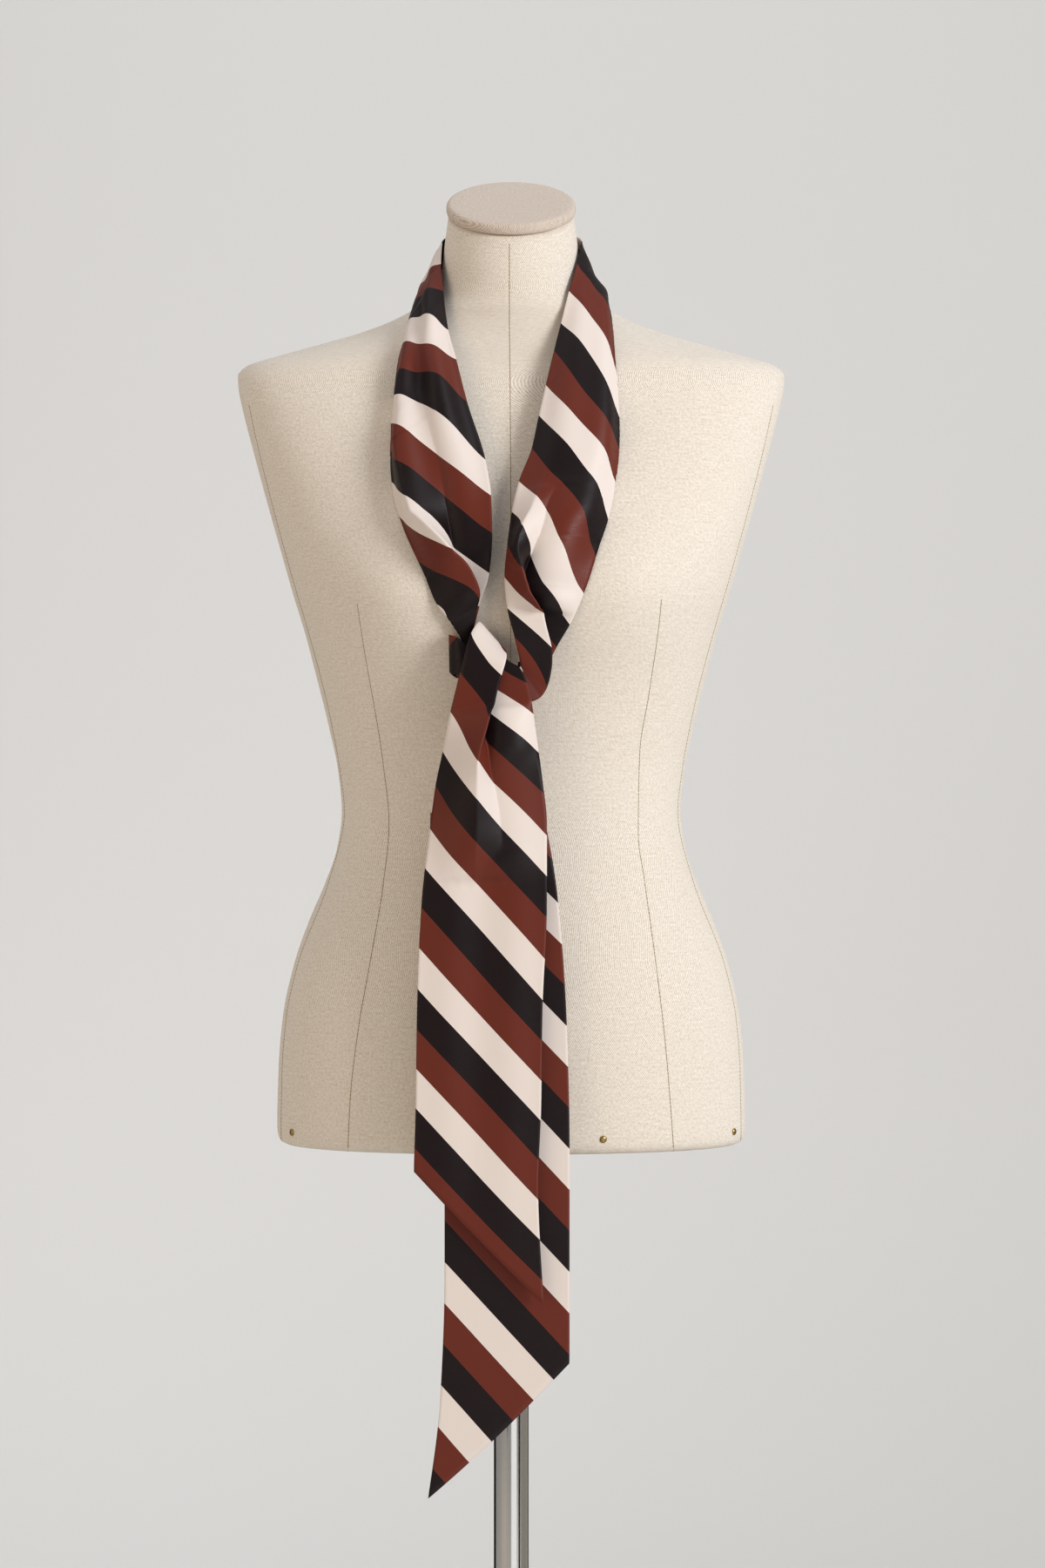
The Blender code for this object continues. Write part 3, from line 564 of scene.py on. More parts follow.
# Each row gives the length along the strip in stripes, the upper and the lower edge in
# millimetres, the share of the width that shows and where its arch peaks, the height of its
# waves and the turn of its tuck in degrees, and where the tuck starts and how much it takes.
Section = namedtuple("Section", "along ux uy uz lx ly lz shows crest wave tuck start takes")
SECTIONS = [Section(*row) for row in (
    (-39, 42, -122, 598, -60, -122, 595, 1, 0.5, 0, 0, 0.5, 0),
    (-36, 41, -122, 684, -49, -122, 683, 1, 0.5, 0, 0, 0.5, 0),
    (-33, 41, -122, 771, -46, -122, 769, 1, 0.5, 0, 0, 0.5, 0),
    (-30, 41, -122, 857, -46, -122, 856, 1, 0.5, 0, 0, 0.5, 0),
    (-27, 39, -122, 943, -48, -122, 942, 1, 0.5, 0, 0, 0.5, 0),
    (-24, 33, -122, 1029, -54, -122, 1027, 1, 0.5, 0, 0, 0.46, 0),
    (-22, 23, -121, 1089, -56, -122, 1085, 1, 0.5, 0, 60, 0.44, 0.7),
    (-20, 4, -119.5, 1142, -44, -121.5, 1136, 0.9, 0.5, 0, 160, 0.34, 1.05),
    (-18.5, -16, -121, 1180, -32, -124.5, 1174, 0.5, 0.9, 0, 176, 0.17, 1),
    (-17, -26.5, -121, 1213, -33, -124.5, 1208, 0.29, 0.9, 0, 176, 0.1, 1),
    (-16, -22, -124.5, 1236, -40, -125.5, 1222, 0.58, 0.9, 0, 172, 0.18, 1),
    (-15, -15, -131, 1259, -51, -128.5, 1237, 0.92, 0.8, 5, 156, 0.29, 1),
    (-14, -13, -127, 1287, -60, -127, 1258, 1, 0.5, 8, 115, 0.36, 1),
    (-13, -14, -118, 1314, -75, -112, 1291, 1, 0.5, 14, 66, 0.38, 0.85),
    (-12, -18, -107, 1340, -83, -99, 1318, 1, 0.55, 24, 34, 0.4, 0.7),
    (-11, -31, -91, 1382, -85, -90, 1341, 1, 0.58, 34, 14, 0.42, 0.3),
    (-10, -39, -75, 1414, -85, -79, 1366, 0.94, 0.58, 38, 0, 0.48, 0),
    (-9, -45, -59, 1437, -83, -69, 1390, 0.85, 0.58, 30, 0, 0.48, 0),
    (-8, -49, -42, 1467, -81, -60, 1411, 0.82, 0.58, 20, 0, 0.48, 0),
    (-7, -51, -24, 1489, -76.5, -44, 1432, 0.775, 0.58, 9, 0, 0.48, 0),
    (-6, -50.5, -6, 1507, -72, -20, 1454, 0.68, 0.58, 8, 0, 0.48, 0),
    (-5, -44, 19, 1516, -67, 16, 1466, 0.65, 0.58, 8, 0, 0.48, 0),
    (-4, -26, 38, 1522, -55, 41, 1469, 0.71, 0.58, 8, 0, 0.48, 0),
    (-3, 0, 46, 1524, -33, 56, 1470, 0.76, 0.58, 8, 0, 0.48, 0),
    (-2, 26, 39, 1522, 3, 63, 1470, 0.755, 0.58, 14, 0, 0.48, 0),
    (-1, 45, 19, 1516, 38, 53, 1467, 0.72, 0.58, 14, 0, 0.44, 0),
    (0, 51.5, -8, 1508, 60, 27, 1463, 0.68, 0.58, 12, 0, 0.38, 0),
    (1, 48, -27, 1489, 67, 2, 1463, 0.55, 0.58, 12, 0, 0.34, 0),
    (2, 42, -42, 1467, 71, -20, 1457, 0.5, 0.58, 12, 0, 0.3, 0),
    (3, 36, -56, 1442, 73.5, -43, 1434, 0.54, 0.58, 12, 0, 0.28, 0),
    (4, 31, -69, 1421, 75, -61, 1407, 0.62, 0.58, 14, 0, 0.26, 0),
    (5, 25, -83, 1395, 76.5, -76, 1381, 0.71, 0.58, 14, 0, 0.25, 0),
    (6, 20, -96, 1372, 76.8, -84, 1361, 0.79, 0.58, 14, 0, 0.24, 0),
    (7, 15, -107, 1348, 76, -90, 1344, 0.84, 0.58, 12, 0, 0.23, 0),
    (8, 6, -116, 1324, 73.5, -97, 1324, 0.91, 0.56, 8, -6, 0.22, 0),
    (9, 1, -124, 1302, 69, -109, 1301, 0.96, 0.54, 6, -50, 0.21, 0.3),
    (10, -2, -131, 1279, 62, -121, 1279, 1, 0.5, 6, -92, 0.21, 0.85),
    (11, -4, -135.5, 1256, 53.5, -128, 1252, 1, 0.5, 4, -132, 0.25, 1.05),
    (12, -2, -137, 1234, 43, -126, 1227, 0.97, 0.85, 0, -155, 0.29, 1.08),
    (13, 3, -136, 1214, 30.5, -123, 1205, 0.86, 0.9, 0, -165, 0.29, 1.1),
    (14, 7, -132.5, 1194, 18, -124, 1178, 0.72, 0.9, 0, -172, 0.25, 1.1),
    (14.7, -4, -133, 1190, 8, -128.2, 1167, 0.75, 0.9, 0, -176, 0.25, 1.1),
    (15.4, -21.5, -133, 1201, -12.5, -129, 1173, 0.8, 0.9, 0, -176, 0.27, 1.1),
    (16, -37.5, -132, 1214, -32, -129.5, 1187, 0.8, 0.9, 0, -176, 0.27, 1.1),
    (16.35, -43, -124, 1216, -37, -124, 1188, 0.8, 0.9, 0, -176, 0.27, 1.1),
    (16.7, -36, -114, 1212, -32, -116, 1183, 0.8, 0.9, 0, -176, 0.27, 1.1),
    (17.15, -17, -114, 1213, -12, -116, 1184, 0.82, 0.9, 0, -176, 0.28, 1.1),
    (17.65, -21.5, -129.5, 1225, 0, -124, 1194, 0.88, 0.9, 0, -176, 0.3, 1.1),
    (18.05, -28, -138, 1215, 3.5, -133, 1194, 0.92, 0.9, 0, -176, 0.3, 1.1),
    (18.6, -32, -142, 1200.5, 8, -138.5, 1190, 0.97, 0.85, 0, -176, 0.3, 1.1),
    (19.4, -37.5, -142.5, 1178.5, 11.5, -139, 1181, 1, 0.8, 0, -170, 0.32, 1.1),
    (20, -41.5, -141.5, 1162, 14.5, -138.5, 1168, 1, 0.8, 0, -158, 0.35, 1.05),
    (21, -47, -137, 1134.5, 18.3, -135, 1142, 1, 0.7, 3, -105, 0.38, 0.95),
    (22, -52, -134, 1111, 22, -133, 1114, 1, 0.5, 4, -62, 0.4, 0.75),
    (23, -56, -132, 1081, 25, -132, 1085, 1, 0.5, 5, -30, 0.41, 0.5),
    (25, -62, -131, 1026, 25, -131, 1028, 1, 0.5, 7, 0, 0.42, 0),
    (27.5, -65, -131, 955, 22, -131, 956, 1, 0.5, 7, 0, 0.42, 0),
    (30, -66, -131, 886, 21, -131, 886, 1, 0.5, 5, 0, 0.42, 0),
    (32, -67.5, -131, 831, 19, -131, 831, 1, 0.5, 3, 0, 0.42, 0),
    (35, -68, -131, 747, 23, -131, 747, 1, 0.5, 0, 0, 0.42, 0),
)]
strip_length = (SECTIONS[-1].along - SECTIONS[0].along) * STRIPE
print("the scarf is", round(strip_length), "mm long at its points")

# %% A section across the strip
WHOLE_WIDTH = 0.999
LEAST_TURN = 0.05
LONGEST_TUCK = 0.34
WIDEST_ARCH = 1.5 * np.pi
FIT_ROUNDS = 26


def smooth(value):
    """Ease from 0 to 1."""
    value = np.clip(value, 0, 1)
    return value * value * (3 - 2 * value)


def edge_distance(row):
    """The straight distance between a section's two edges, in millimetres."""
    return math.dist((row.ux, row.uy, row.uz), (row.lx, row.ly, row.lz))


def tuck_end(row):
    """The share of the width where a section's tuck ends."""
    spare = max(row.shows - edge_distance(row) / STRIP_WIDTH, 0) * row.takes
    length = spare / max(1 - math.cos(math.radians(row.tuck)), LEAST_TURN)
    return row.start + min(max(length, 2 * FOLD_SHARE), LONGEST_TUCK)


def section_shape(row):
    """A section across the strip, in millimetres: steps away from the upper edge, and outward."""
    share = (np.arange(HEADING_STEPS) + 0.5) / HEADING_STEPS
    tuck = smooth((share - row.start) / FOLD_SHARE + 0.5)
    tuck = tuck - smooth((share - tuck_end(row)) / FOLD_SHARE + 0.5)
    under = smooth((share - row.shows) / FOLD_SHARE + 0.5) * (row.shows < WHOLE_WIDTH)
    bend = smooth((share / row.shows - row.crest) / BEND_SHARE + 0.5)
    waves = np.radians(row.wave) * np.sin(2 * np.pi * WAVES_ACROSS * share / row.shows)
    visible = share < row.shows
    chord = edge_distance(row)

    def path(arch):
        heading = np.radians(row.tuck) * tuck - np.pi * under - arch * bend + waves
        return np.cumsum(np.exp(1j * heading)) * STRIP_WIDTH / HEADING_STEPS

    low, high = 0.0, WIDEST_ARCH
    for _ in range(FIT_ROUNDS):
        middle = (low + high) / 2
        if abs(path(middle)[visible][-1]) > chord:
            low = middle
        else:
            high = middle
    line = np.concatenate([[0], path(low)])
    end = line[1:][visible][-1]
    return line * max(chord / abs(end), 1.0) * abs(end) / end


# %% The strip as a surface
GRID_STEP = 0.05
CLEARING_ROUNDS = 4
STRIP_GRID = np.arange(SECTIONS[0].along, SECTIONS[-1].along + GRID_STEP / 2, GRID_STEP)
section_table = np.array(SECTIONS, float)
STRIP_ROWS = np.stack([eased(STRIP_GRID, section_table[:, 0], row) for row in section_table.T], 1)


def strip_surface():
    """Points of the strip's middle surface for every row of the grid, in millimetres."""
    upper, lower = STRIP_ROWS[:, 1:4], STRIP_ROWS[:, 4:7]
    across = lower - upper
    travel = np.gradient((upper + lower) / 2, axis=0)
    outward = np.cross(travel, across)
    outward /= np.linalg.norm(outward, axis=1)[:, None]
    across = across / np.linalg.norm(across, axis=1)[:, None]
    points = []
    for index, values in enumerate(STRIP_ROWS):
        shape = section_shape(Section(*values))
        inward = shape.real[:, None] * across[index]
        points.append(upper[index] + inward + shape.imag[:, None] * outward[index])
    points = np.array(points)
    for _ in range(CLEARING_ROUNDS):
        gap, away = form_distance(points)
        points += np.maximum(CLEARANCE + SILK_THICKNESS / 2 - gap, 0)[..., None] * away
    return points


STRIP_POINTS = strip_surface()
# The last row and the last column from which there is still a next one to read towards.
LAST_ROW = len(STRIP_GRID) - 1.001
LAST_COLUMN = HEADING_STEPS - 1e-6


def strip_at(along, share):
    """Points of the strip's middle surface, in millimetres."""
    row = np.clip((along - STRIP_GRID[0]) / GRID_STEP, 0, LAST_ROW)
    column = np.clip(share * HEADING_STEPS, 0, LAST_COLUMN)
    r, c = row.astype(int), column.astype(int)
    fr, fc = (row - r)[..., None], (column - c)[..., None]
    near = STRIP_POINTS[r, c] * (1 - fc) + STRIP_POINTS[r, c + 1] * fc
    far = STRIP_POINTS[r + 1, c] * (1 - fc) + STRIP_POINTS[r + 1, c + 1] * fc
    return near * (1 - fr) + far * fr


print("strip grid:", STRIP_POINTS.shape[0], "rows of", STRIP_POINTS.shape[1], "points")

# %% [markdown]
# ## Rows and columns of the silk
#
# The mesh needs many columns where the cloth turns sharply, at the two folds of the tuck and at
# the edge that turns under, and few where it lies flat. So each row spreads its columns by a
# weight that peaks at those places. The ends are cut on the slant: towards each end the rows
# tilt little by little, until the last row is the slanted end itself.

# %% Layout of the mesh
SILK_COLUMNS = 58
SILK_ROWS = 760
# Each end: where the strip stops, its slant, where the rows start to tilt and over what length.
End = namedtuple("End", "along slant tilts over")
BACK_END = End(-35.2, -3.2, -22, 12)
FRONT_END = End(31.6, 3.3, 20, 10.5)
SHARE_STEPS = 400
ROW_STEPS = 2000
TUCK_CROWDING = 7
EDGE_CROWDING = 5
CROWDED_SHARE = 0.8 * FOLD_SHARE
TURNED_SHARE = 0.9 * FOLD_SHARE
# Where rows lie closer: from and to, the length over which they close up, and how much closer.
CLOSER_ROWS = [(-24, 26, 3, 1.2), (13, 20, 1, 2.2)]


def spread_by(weight, places, count):
    """Take this many of the places, closer together where the weight is high."""
    return spread((weight[1:] + weight[:-1]) / 2, places, count)


def silk_shares(row):
    """Shares of the width for one row's columns, closer together at its folds."""
    turned_under = row.shows < WHOLE_WIDTH
    limit = min(row.shows + TURNED_SHARE, 1.0) if turned_under else 1.0
    share = np.linspace(0, limit, SHARE_STEPS)
    crowding = TUCK_CROWDING * min(abs(row.tuck) / 90, 1.0)
    weight = np.ones_like(share)
    for place in (row.start, tuck_end(row)):
        weight += crowding * np.exp(-(((share - place) / CROWDED_SHARE) ** 2))
    if turned_under:
        weight += EDGE_CROWDING * np.exp(-(((share - row.shows) / CROWDED_SHARE) ** 2))
    return spread_by(weight, share, SILK_COLUMNS)


def silk_rows(count):
    """Lengths along the strip for the rows, closer together in the knot and on the chest."""
    along = np.linspace(BACK_END.along, FRONT_END.along, ROW_STEPS)
    weight = np.ones_like(along)
    for low, high, ease, closer in CLOSER_ROWS:
        weight += closer * smooth((along - low) / ease) * smooth((high - along) / ease)
    return spread_by(weight, along, count)


silk_along = silk_rows(SILK_ROWS)
silk_table = [np.interp(silk_along, STRIP_GRID, column) for column in STRIP_ROWS.T]
shares = np.array([silk_shares(Section(*row)) for row in zip(*silk_table)])
slant = smooth((BACK_END.tilts - silk_along) / BACK_END.over) * BACK_END.slant
slant = slant + smooth((silk_along - FRONT_END.tilts) / FRONT_END.over) * FRONT_END.slant
along_grid = silk_along[:, None] + slant[:, None] * shares
silk_middle = strip_at(along_grid, shares)
print("silk mesh:", SILK_ROWS, "rows of", SILK_COLUMNS, "columns")

# %% [markdown]
# ## Stripes
#
# Three colours of equal width repeat along the strip and run across it on the slant: one edge
# is 3.3 stripes ahead of the other. The stripes are woven in, so they must follow the cloth
# through each fold. That is why they are read from the cloth's own UV map, where U counts groups
# of three stripes and V is the share of the width. A second UV map holds the real size in metres
# for the satin's fine ribs.

# %% Satin material
STRIPE_FALL = 3.3
SILK_COLORS = ("#170b0c", "#64281b", "#e2d5cc")


def satin_material():
    """Silk satin in three colours, with a soft gloss drawn out along the threads."""
    material, tree, shader = new_material("silk_satin", 0.5)
    groups = add_node(tree, "ShaderNodeUVMap", uv_map="stripes")
    part = add_math(tree, "FRACT", add_node(tree, "ShaderNodeSeparateXYZ", {0: groups}))
    stops = [(index / len(SILK_COLORS), color) for index, color in enumerate(SILK_COLORS)]
    ramp = add_ramp(tree, part, *stops)
    ramp.color_ramp.interpolation = "CONSTANT"
    real = add_node(tree, "ShaderNodeUVMap", uv_map="metres")
    ribs = add_noise(tree, real, (900.0, 220.0, 1.0), 2.0)
    slack = add_noise(tree, real, 34.0, 2.0)
    height = add_math(tree, "MULTIPLY_ADD", slack, 6.0, ribs)
    threads = add_node(tree, "ShaderNodeTangent", direction_type="UV_MAP", uv_map="metres")
    set_inputs(shader, {
        "Base Color": ramp, "Roughness": add_range(tree, ribs, 0.3, 0.7, 0.42, 0.56),
        "Normal": add_bump(tree, height, 0.4, 0.08 * MM), "Tangent": threads,
        "Anisotropic": 0.6, "Specular IOR Level": 0.21,
    })
    return material


satin = satin_material()
print("each stripe is", STRIPE, "mm wide along the edge")

# %% The scarf's mesh
RIM_BEAD = 0.45
LEAST_NORMAL = 1e-9


def shell(middle, thickness, uvs):
    """A closed sheet of cloth round its middle surface, with a rounded rim. Returns its parts."""
    rows, columns = middle.shape[:2]
    travel = np.gradient(middle, axis=0)
    across = np.gradient(middle, axis=1)
    outward = np.cross(travel, across)
    outward /= np.maximum(np.linalg.norm(outward, axis=2), LEAST_NORMAL)[..., None]
    front = middle + outward * thickness / 2
    back = middle - outward * thickness / 2
    rim = [(0, j) for j in range(columns)]
    rim += [(i, columns - 1) for i in range(1, rows)]
    rim += [(rows - 1, j) for j in range(columns - 2, -1, -1)]
    rim += [(i, 0) for i in range(rows - 2, 0, -1)]
    rim_rows, rim_columns = np.array(rim).T
    inner_rows = np.clip(rim_rows, 1, rows - 2)
    inner_columns = np.clip(rim_columns, 1, columns - 2)
    beyond = middle[rim_rows, rim_columns] - middle[inner_rows, inner_columns]
    beyond /= np.linalg.norm(beyond, axis=1)[:, None]
    bead = middle[rim_rows, rim_columns] + beyond * thickness * RIM_BEAD
    points = np.concatenate([front.reshape(-1, 3), back.reshape(-1, 3), bead])
    index = np.arange(rows * columns).reshape(rows, columns)
    a, b = index[:-1, :-1].ravel(), index[1:, :-1].ravel()
    c, d = index[1:, 1:].ravel(), index[:-1, 1:].ravel()
    count = rows * columns
    front_faces, back_faces = np.stack([a, b, c, d], 1), np.stack([a, d, c, b], 1) + count
    faces = np.concatenate([front_faces, back_faces]).tolist()
    edge = index[rim_rows, rim_columns].tolist()
    for k in range(len(rim)):
        n = (k + 1) % len(rim)
        faces.append((edge[k], edge[n], 2 * count + n, 2 * count + k))
        faces.append((2 * count + k, 2 * count + n, edge[n] + count, edge[k] + count))
    layered = {}
    for name, values in uvs.items():
        flat = values.reshape(-1, 2)
        layered[name] = np.concatenate([flat, flat, values[rim_rows, rim_columns]])
    return points * MM, faces, layered


phase = (along_grid - STRIPE_FALL * shares) / len(SILK_COLORS)
scarf_uv = {
    "stripes": np.stack([phase, shares], axis=-1),
    "metres": np.stack([along_grid * STRIPE, shares * STRIP_WIDTH], axis=-1) * MM,
}
scarf_points, scarf_faces, scarf_layers = shell(silk_middle, SILK_THICKNESS, scarf_uv)
scarf = make_piece("silk_scarf", scarf_points, scarf_faces, satin, scarf_layers)
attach(scarf, "root")
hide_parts("back_tail", "left_strand", "neck_wrap", "right_strand", "knot_band",
            "front_tail")
print("scarf faces:", len(scarf.data.polygons))

# %% [markdown]
# ## Nails
#
# Small domed brass nails hold the cover's edge just above the hem. They are all alike and stand
# at known places, so Geometry Nodes set one dome on each point of a small mesh. Each point
# carries the direction that leads away from the form, and the dome is turned to it.

# %% Nails by Geometry Nodes
NAIL_ANGLES = (-128, -75, 34.5, 77, 128, 180)
NAIL_HEIGHT = 861.0
NAIL_RADIUS = 2.6 * MM
NAIL_DOME = 0.5
NAIL_LIFT = 0.2 * MM


def brass_material():
    """Old lacquered brass, a little uneven and dull."""
    material, tree, shader = new_material("aged_brass", 0.34, 1.0)
    spots = add_noise(tree, object_place(tree), 900.0, 3.0)
    set_inputs(shader, {
        "Base Color": add_ramp(tree, spots, (0.0, "#6e5a34"), (1.0, "#c2a468")),
        "Roughness": add_range(tree, spots, 0.3, 0.7, 0.45, 0.28),
    })
    return material


def new_geometry_tree(name, sizes):
    """A Geometry Nodes tree with a number input for each size, and what it is given."""
    tree = bpy.data.node_groups.new(name, "GeometryNodeTree")
    tree.interface.new_socket("Geometry", in_out="INPUT", socket_type="NodeSocketGeometry")
    for size in sizes:
        tree.interface.new_socket(size, in_out="INPUT", socket_type="NodeSocketFloat")
    tree.interface.new_socket("Geometry", in_out="OUTPUT", socket_type="NodeSocketGeometry")
    return tree, add_node(tree, "NodeGroupInput").outputs


def finish_tree(tree, geometry):
    """Shade a geometry smooth and make it the tree's result."""
    shade = add_node(tree, "GeometryNodeSetShadeSmooth", {"Geometry": geometry})
    add_node(tree, "NodeGroupOutput", {"Geometry": shade})
    return tree


def grow(tree, name, source, sizes):
    """Run a tree on a mesh and return what it makes as a plain mesh object."""
    holder = new_object(name + "_source", source)
    modifier = holder.modifiers.new("grow", "NODES")
    modifier.node_group = tree
    for item in tree.interface.items_tree:
        if item.in_out == "INPUT" and item.name in sizes:
            modifier[item.identifier] = sizes[item.name]
    evaluated = holder.evaluated_get(bpy.context.evaluated_depsgraph_get())
    mesh = bpy.data.meshes.new_from_object(evaluated)
    bpy.data.objects.remove(holder, do_unlink=True)
    mesh.name = name
    return new_object(name, mesh)


def source_mesh(name, points, edges, away):
    """A mesh of points in metres that stores the way out of the form at each."""
    mesh = bpy.data.meshes.new(name)
    mesh.from_pydata(points.tolist(), edges, [])
    stored = mesh.attributes.new("away", "FLOAT_VECTOR", "POINT")
    stored.data.foreach_set("vector", away.ravel())
    return mesh


def painted(tree, geometry, material):
    """Give a geometry its material."""
    inputs = {"Geometry": geometry, "Material": material}
    return add_node(tree, "GeometryNodeSetMaterial", inputs)


def copies_on(tree, points, instance, direction):
    """Add copies of an instance on points, each with its Z axis along the direction there."""
    turn = add_node(tree, "FunctionNodeAlignRotationToVector", {"Vector": direction}, axis="Z")
    spread = add_node(tree, "GeometryNodeInstanceOnPoints", {
        "Points": points, "Instance": instance, "Rotation": turn,
    })
    return add_node(tree, "GeometryNodeRealizeInstances", {"Geometry": spread})


def away_from_form(tree):
    """Add the stored direction that leads away from the form."""
    kind = "GeometryNodeInputNamedAttribute"
    return add_node(tree, kind, {"Name": "away"}, data_type="FLOAT_VECTOR")


def nail_tree(brass):
    """Domes on points, each turned away from the form."""
    tree, given = new_geometry_tree("hem_nails", ["Radius", "Dome"])
    ball = add_node(tree, "GeometryNodeMeshUVSphere", {
        "Segments": 20, "Rings": 12, "Radius": given["Radius"],
    })
    flat = add_node(tree, "ShaderNodeCombineXYZ", {0: 1.0, 1: 1.0, 2: given["Dome"]})
    dome = add_node(tree, "GeometryNodeTransform", {"Geometry": ball, "Scale": flat})
    domes = copies_on(tree, given["Geometry"], dome, away_from_form(tree))
    return finish_tree(tree, painted(tree, domes, brass))


brass = brass_material()
nail_turn = np.radians(np.array(NAIL_ANGLES, float))
nail_ray = np.stack([np.sin(nail_turn), -np.cos(nail_turn), 0 * nail_turn], axis=-1)
nail_start = np.array([0, 0, NAIL_HEIGHT]) + nail_ray * SEARCH_REACH
nail_points = slide_to_form(nail_start, -nail_ray)
_, nail_away = form_distance(nail_points)
nail_points = nail_points * MM + nail_away * NAIL_LIFT
nail_source = source_mesh("nail_points", nail_points, [], nail_away)
nail_sizes = {"Radius": NAIL_RADIUS, "Dome": NAIL_DOME}
nails = grow(nail_tree(brass), "hem_nails", nail_source, nail_sizes)
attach(nails, "root")
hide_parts(*["nail_%d" % number for number in range(1, 7)])
print("nail faces:", len(nails.data.polygons))

# %% [markdown]
# ## Seams and stitches
#
# The linen cover is sewn from shaped panels. Where two panels meet the cloth dips into a narrow
# line, and small stitches hold it. Each seam is a route over the form: the line is a thin tube
# sunk halfway into the cover, coloured darker than the linen as painted shade of the dip, and
# Geometry Nodes set a stitch at each step along it.

# %% Seams by Geometry Nodes
Seam = namedtuple("Seam", "name side route")
CENTRE_FRONT = [(0, 850.6), (0, 1300), (-0.5, 1400), (-1, 1450), (-1, 1500)]
CENTRE_BACK = [(0, 850.6), (0, 1500)]
PRINCESS_LEFT = [
    (-116, 851), (-114, 890), (-108, 940), (-100, 985), (-91, 1040), (-87, 1083), (-91, 1125),
    (-104, 1210), (-108, 1240),
]
PRINCESS_RIGHT = [
    (116, 851), (110, 925), (103, 985), (95, 1045), (91, 1076), (92, 1135), (98, 1175),
    (105, 1230), (106, 1243),
]
SIDE = [
    (167, 851), (166, 905), (163, 943), (155, 980), (132.6, 1040), (121, 1092), (124, 1120),
    (133, 1170), (147, 1225), (158, 1263), (171, 1310), (183, 1357), (190, 1388),
]
BACK = [(88, 851), (80, 940), (66, 1040), (62, 1090), (72, 1200), (88, 1330), (96, 1408)]
SEAMS = [
    Seam("centre_front", "front", CENTRE_FRONT),
    Seam("princess_left", "front", PRINCESS_LEFT),
    Seam("princess_right", "front", PRINCESS_RIGHT),
    Seam("side_left", "front", [(-x, z) for x, z in SIDE]),
    Seam("side_right", "front", SIDE),
    Seam("centre_back", "back", CENTRE_BACK),
    Seam("back_left", "back", [(-x, z) for x, z in BACK]),
    Seam("back_right", "back", BACK),
]
SEAM_STEP = 3.0
SEAM_RADIUS = 0.42 * MM
SEAM_DEPTH = 0.22 * MM
STITCH_PITCH = 2.6 * MM
STITCH_LENGTH = 1.5 * MM
STITCH_RADIUS = 0.22 * MM
STITCH_LIFT = 0.35 * MM


def seam_points(seam):
    """Points of a seam on the form, one for each step of height, and the ways out from it."""
    route = np.array(seam.route, float)
    heights = np.arange(route[0, 1], route[-1, 1], SEAM_STEP)
    sides = eased(heights, route[:, 1], route[:, 0])
    way = np.array([0.0, 1.0 if seam.side == "front" else -1.0, 0.0])
    start = np.stack([sides, 0 * sides, heights], axis=-1) - SEARCH_REACH * way
    points = slide_to_form(start, way)
    _, away = form_distance(points)
    return points, away


def seam_tree(painted_shade, thread):
    """A sunk line in painted shade along each edge of the mesh, with a stitch at each step."""
    sizes = ["Line Radius", "Stitch Pitch", "Stitch Length", "Stitch Radius"]
    tree, given = new_geometry_tree("seam_line", sizes)
    curve = add_node(tree, "GeometryNodeMeshToCurve", {"Mesh": given["Geometry"]})
    ring = add_node(tree, "GeometryNodeCurvePrimitiveCircle", {
        "Resolution": 6, "Radius": given["Line Radius"],
    })
    line = add_node(tree, "GeometryNodeCurveToMesh", {
        "Curve": curve, "Profile Curve": ring, "Fill Caps": True,
    })
    # The seam line's darker colour is painted shade of the dip between two panels.
    line = painted(tree, line, painted_shade)
    steps = add_node(tree, "GeometryNodeResampleCurve", {
        "Curve": curve, "Length": given["Stitch Pitch"],
    }, mode="LENGTH")
    stitch = add_node(tree, "GeometryNodeMeshCylinder", {
        "Vertices": 6, "Radius": given["Stitch Radius"], "Depth": given["Stitch Length"],
    })
    lift = add_node(tree, "ShaderNodeVectorMath", {
        0: away_from_form(tree), "Scale": STITCH_LIFT,
    }, operation="SCALE")
    raised = add_node(tree, "GeometryNodeSetPosition", {"Geometry": steps, "Offset": lift})
    tangent = add_node(tree, "GeometryNodeInputTangent")
    stitches = painted(tree, copies_on(tree, raised, stitch, tangent), thread)
    both = add_node(tree, "GeometryNodeJoinGeometry", {0: line})
    set_inputs(both, {0: stitches})
    return finish_tree(tree, both)


def thread_and_shade_material(name, light, dark):
    """A matte, slightly uneven colour: spun thread, and the painted shade of the seam lines."""
    material, tree, shader = new_material(name, 0.9)
    spots = add_noise(tree, object_place(tree), 700.0, 2.0)
    set_inputs(shader, {"Base Color": add_ramp(tree, spots, (0.0, dark), (1.0, light))})
    return material


# The seam line's colours are painted shade: darker linen that stands for the shadow in the seam's
# dip.
seam_painted_shade = thread_and_shade_material("seam_line_painted_shade", "#cdbfa6", "#a99a7f")
seam_thread = thread_and_shade_material("linen_thread", "#a3916f", "#7d6a48")
seam_positions, seam_edges, seam_away = [], [], []
for seam in SEAMS:
    points, away = seam_points(seam)
    first = len(seam_positions)
    seam_positions.extend(points * MM - away * SEAM_DEPTH)
    seam_away.extend(away)
    seam_edges += [(first + i, first + i + 1) for i in range(len(points) - 1)]
seam_positions, seam_away = np.array(seam_positions), np.array(seam_away)
seam_source = source_mesh("seam_routes", seam_positions, seam_edges, seam_away)
seam_sizes = {
    "Line Radius": SEAM_RADIUS, "Stitch Pitch": STITCH_PITCH,
    "Stitch Length": STITCH_LENGTH, "Stitch Radius": STITCH_RADIUS,
}
seams = grow(seam_tree(seam_painted_shade, seam_thread), "cover_seams", seam_source, seam_sizes)
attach(seams, "root")
print("seams:", ", ".join(seam.name for seam in SEAMS))

